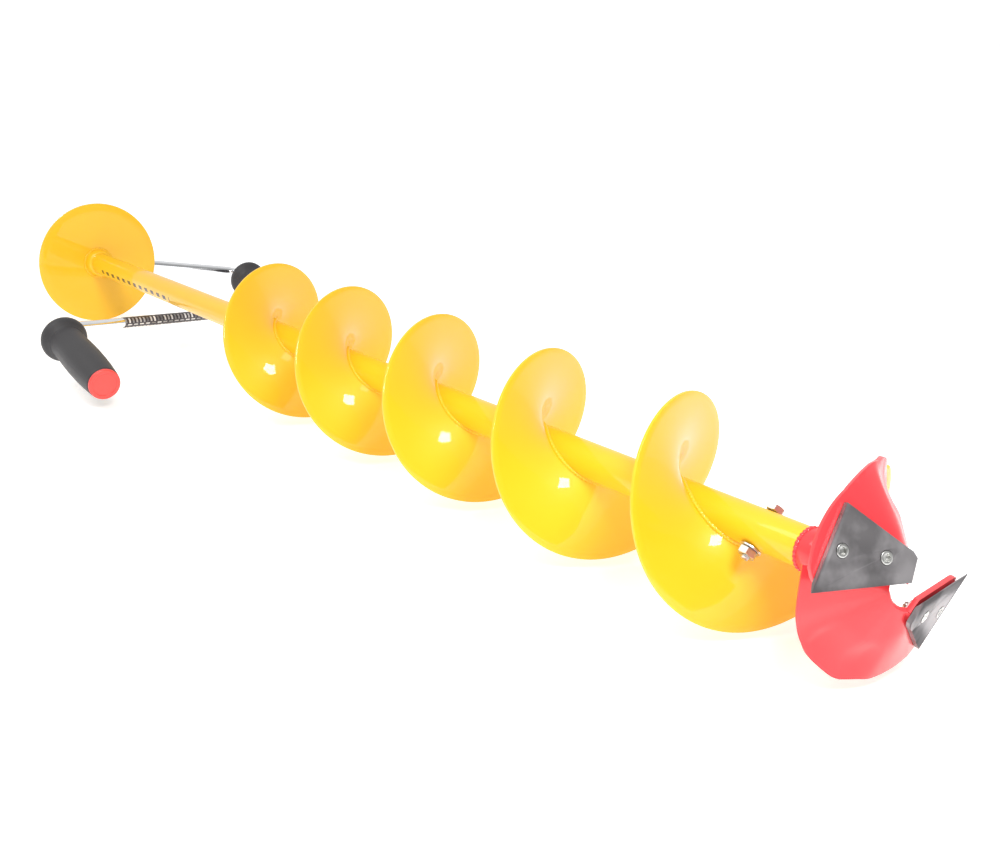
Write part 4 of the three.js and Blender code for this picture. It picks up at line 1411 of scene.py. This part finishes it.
class AUGER_OT_tube(MakeOperator, bpy.types.Operator):
    """Make the main tube and the welded sleeve that the crank folds on"""

    bl_idname = "auger.tube"
    bl_label = "Tube and sleeve"
    makers = (make_tube, make_sleeve)


class AUGER_OT_disc(MakeOperator, bpy.types.Operator):
    """Make the stop disc with its boss and welds"""

    bl_idname = "auger.disc"
    bl_label = "Stop disc"
    makers = (make_disc,)


class AUGER_OT_flight(MakeOperator, bpy.types.Operator):
    """Make the screw's flight and the welds that hold it"""

    bl_idname = "auger.flight"
    bl_label = "Flight"
    makers = (make_flight,)


class AUGER_OT_head(MakeOperator, bpy.types.Operator):
    """Make the cutting head: socket, plates, stays, blades and their screws"""

    bl_idname = "auger.head"
    bl_label = "Cutting head"
    makers = (make_hub, make_head)


class AUGER_OT_head_bolt(MakeOperator, bpy.types.Operator):
    """Make the bolt, washer and nut that hold the head on the tube"""

    bl_idname = "auger.head_bolt"
    bl_label = "Head bolt"
    makers = (make_head_bolt,)


class AUGER_OT_crank(MakeOperator, bpy.types.Operator):
    """Make the crank's bent bar and its label"""

    bl_idname = "auger.crank"
    bl_label = "Crank bar"
    makers = (make_rod, make_label)


class AUGER_OT_pivot(MakeOperator, bpy.types.Operator):
    """Make the collar, washer and wing nut on the crank's pivot"""

    bl_idname = "auger.pivot"
    bl_label = "Pivot hardware"
    makers = (make_pivot_hardware, make_wing_nut)


class AUGER_OT_grips(MakeOperator, bpy.types.Operator):
    """Make both grips with their bushes, rings and end cap"""

    bl_idname = "auger.grips"
    bl_label = "Grips"
    makers = (make_grips, make_cap)


class AUGER_OT_stage(bpy.types.Operator):
    """Make the camera, the floor, the lights and the surround"""

    bl_idname = "auger.stage"
    bl_label = "Studio"

    def execute(self, context):
        studio = context.scene.auger_studio
        make_camera()
        make_floor()
        make_surround(studio.surround, studio.shade)
        middle = (CAD_BOX[0] + CAD_BOX[1]) / 2
        add_light("top", middle + TOP_LIGHT_OFFSET, middle, TOP_LIGHT_SIZE, studio.top)
        add_light("softbox", SOFTBOX, middle, SOFTBOX_SIZE, studio.softbox)
        context.scene.view_settings.view_transform = "Standard"
        return {"FINISHED"}


class AUGER_PT_pieces(bpy.types.Panel):
    """Lists the auger's settings and its pieces"""

    bl_idname = "AUGER_PT_pieces"
    bl_label = "Ice fishing auger"
    bl_space_type = "VIEW_3D"
    bl_region_type = "UI"
    bl_category = "Auger"

    def draw(self, context):
        layout = self.layout
        for group in ("auger_colours", "auger_details", "auger_studio"):
            settings = getattr(context.scene, group)
            box = layout.box()
            for name in settings.__annotations__:
                box.prop(settings, name)
        for operator in OPERATORS:
            layout.operator(operator.bl_idname)


GROUPS = (
    ("auger_colours", AugerColours),
    ("auger_details", AugerDetails),
    ("auger_studio", AugerStudio),
)
OPERATORS = (
    AUGER_OT_stage, AUGER_OT_tube, AUGER_OT_disc, AUGER_OT_flight, AUGER_OT_head, AUGER_OT_head_bolt,
    AUGER_OT_crank, AUGER_OT_pivot, AUGER_OT_grips,
)


def register():
    for name, group in GROUPS:
        bpy.utils.register_class(group)
        setattr(bpy.types.Scene, name, PointerProperty(type=group))
    for operator in OPERATORS:
        bpy.utils.register_class(operator)
    bpy.utils.register_class(AUGER_PT_pieces)


def unregister():
    bpy.utils.unregister_class(AUGER_PT_pieces)
    for operator in reversed(OPERATORS):
        bpy.utils.unregister_class(operator)
    for name, group in reversed(GROUPS):
        delattr(bpy.types.Scene, name)
        bpy.utils.unregister_class(group)


def main():
    register()
    for operator in OPERATORS:
        area, name = operator.bl_idname.split(".")
        getattr(getattr(bpy.ops, area), name)()


if __name__ == "__main__":
    main()
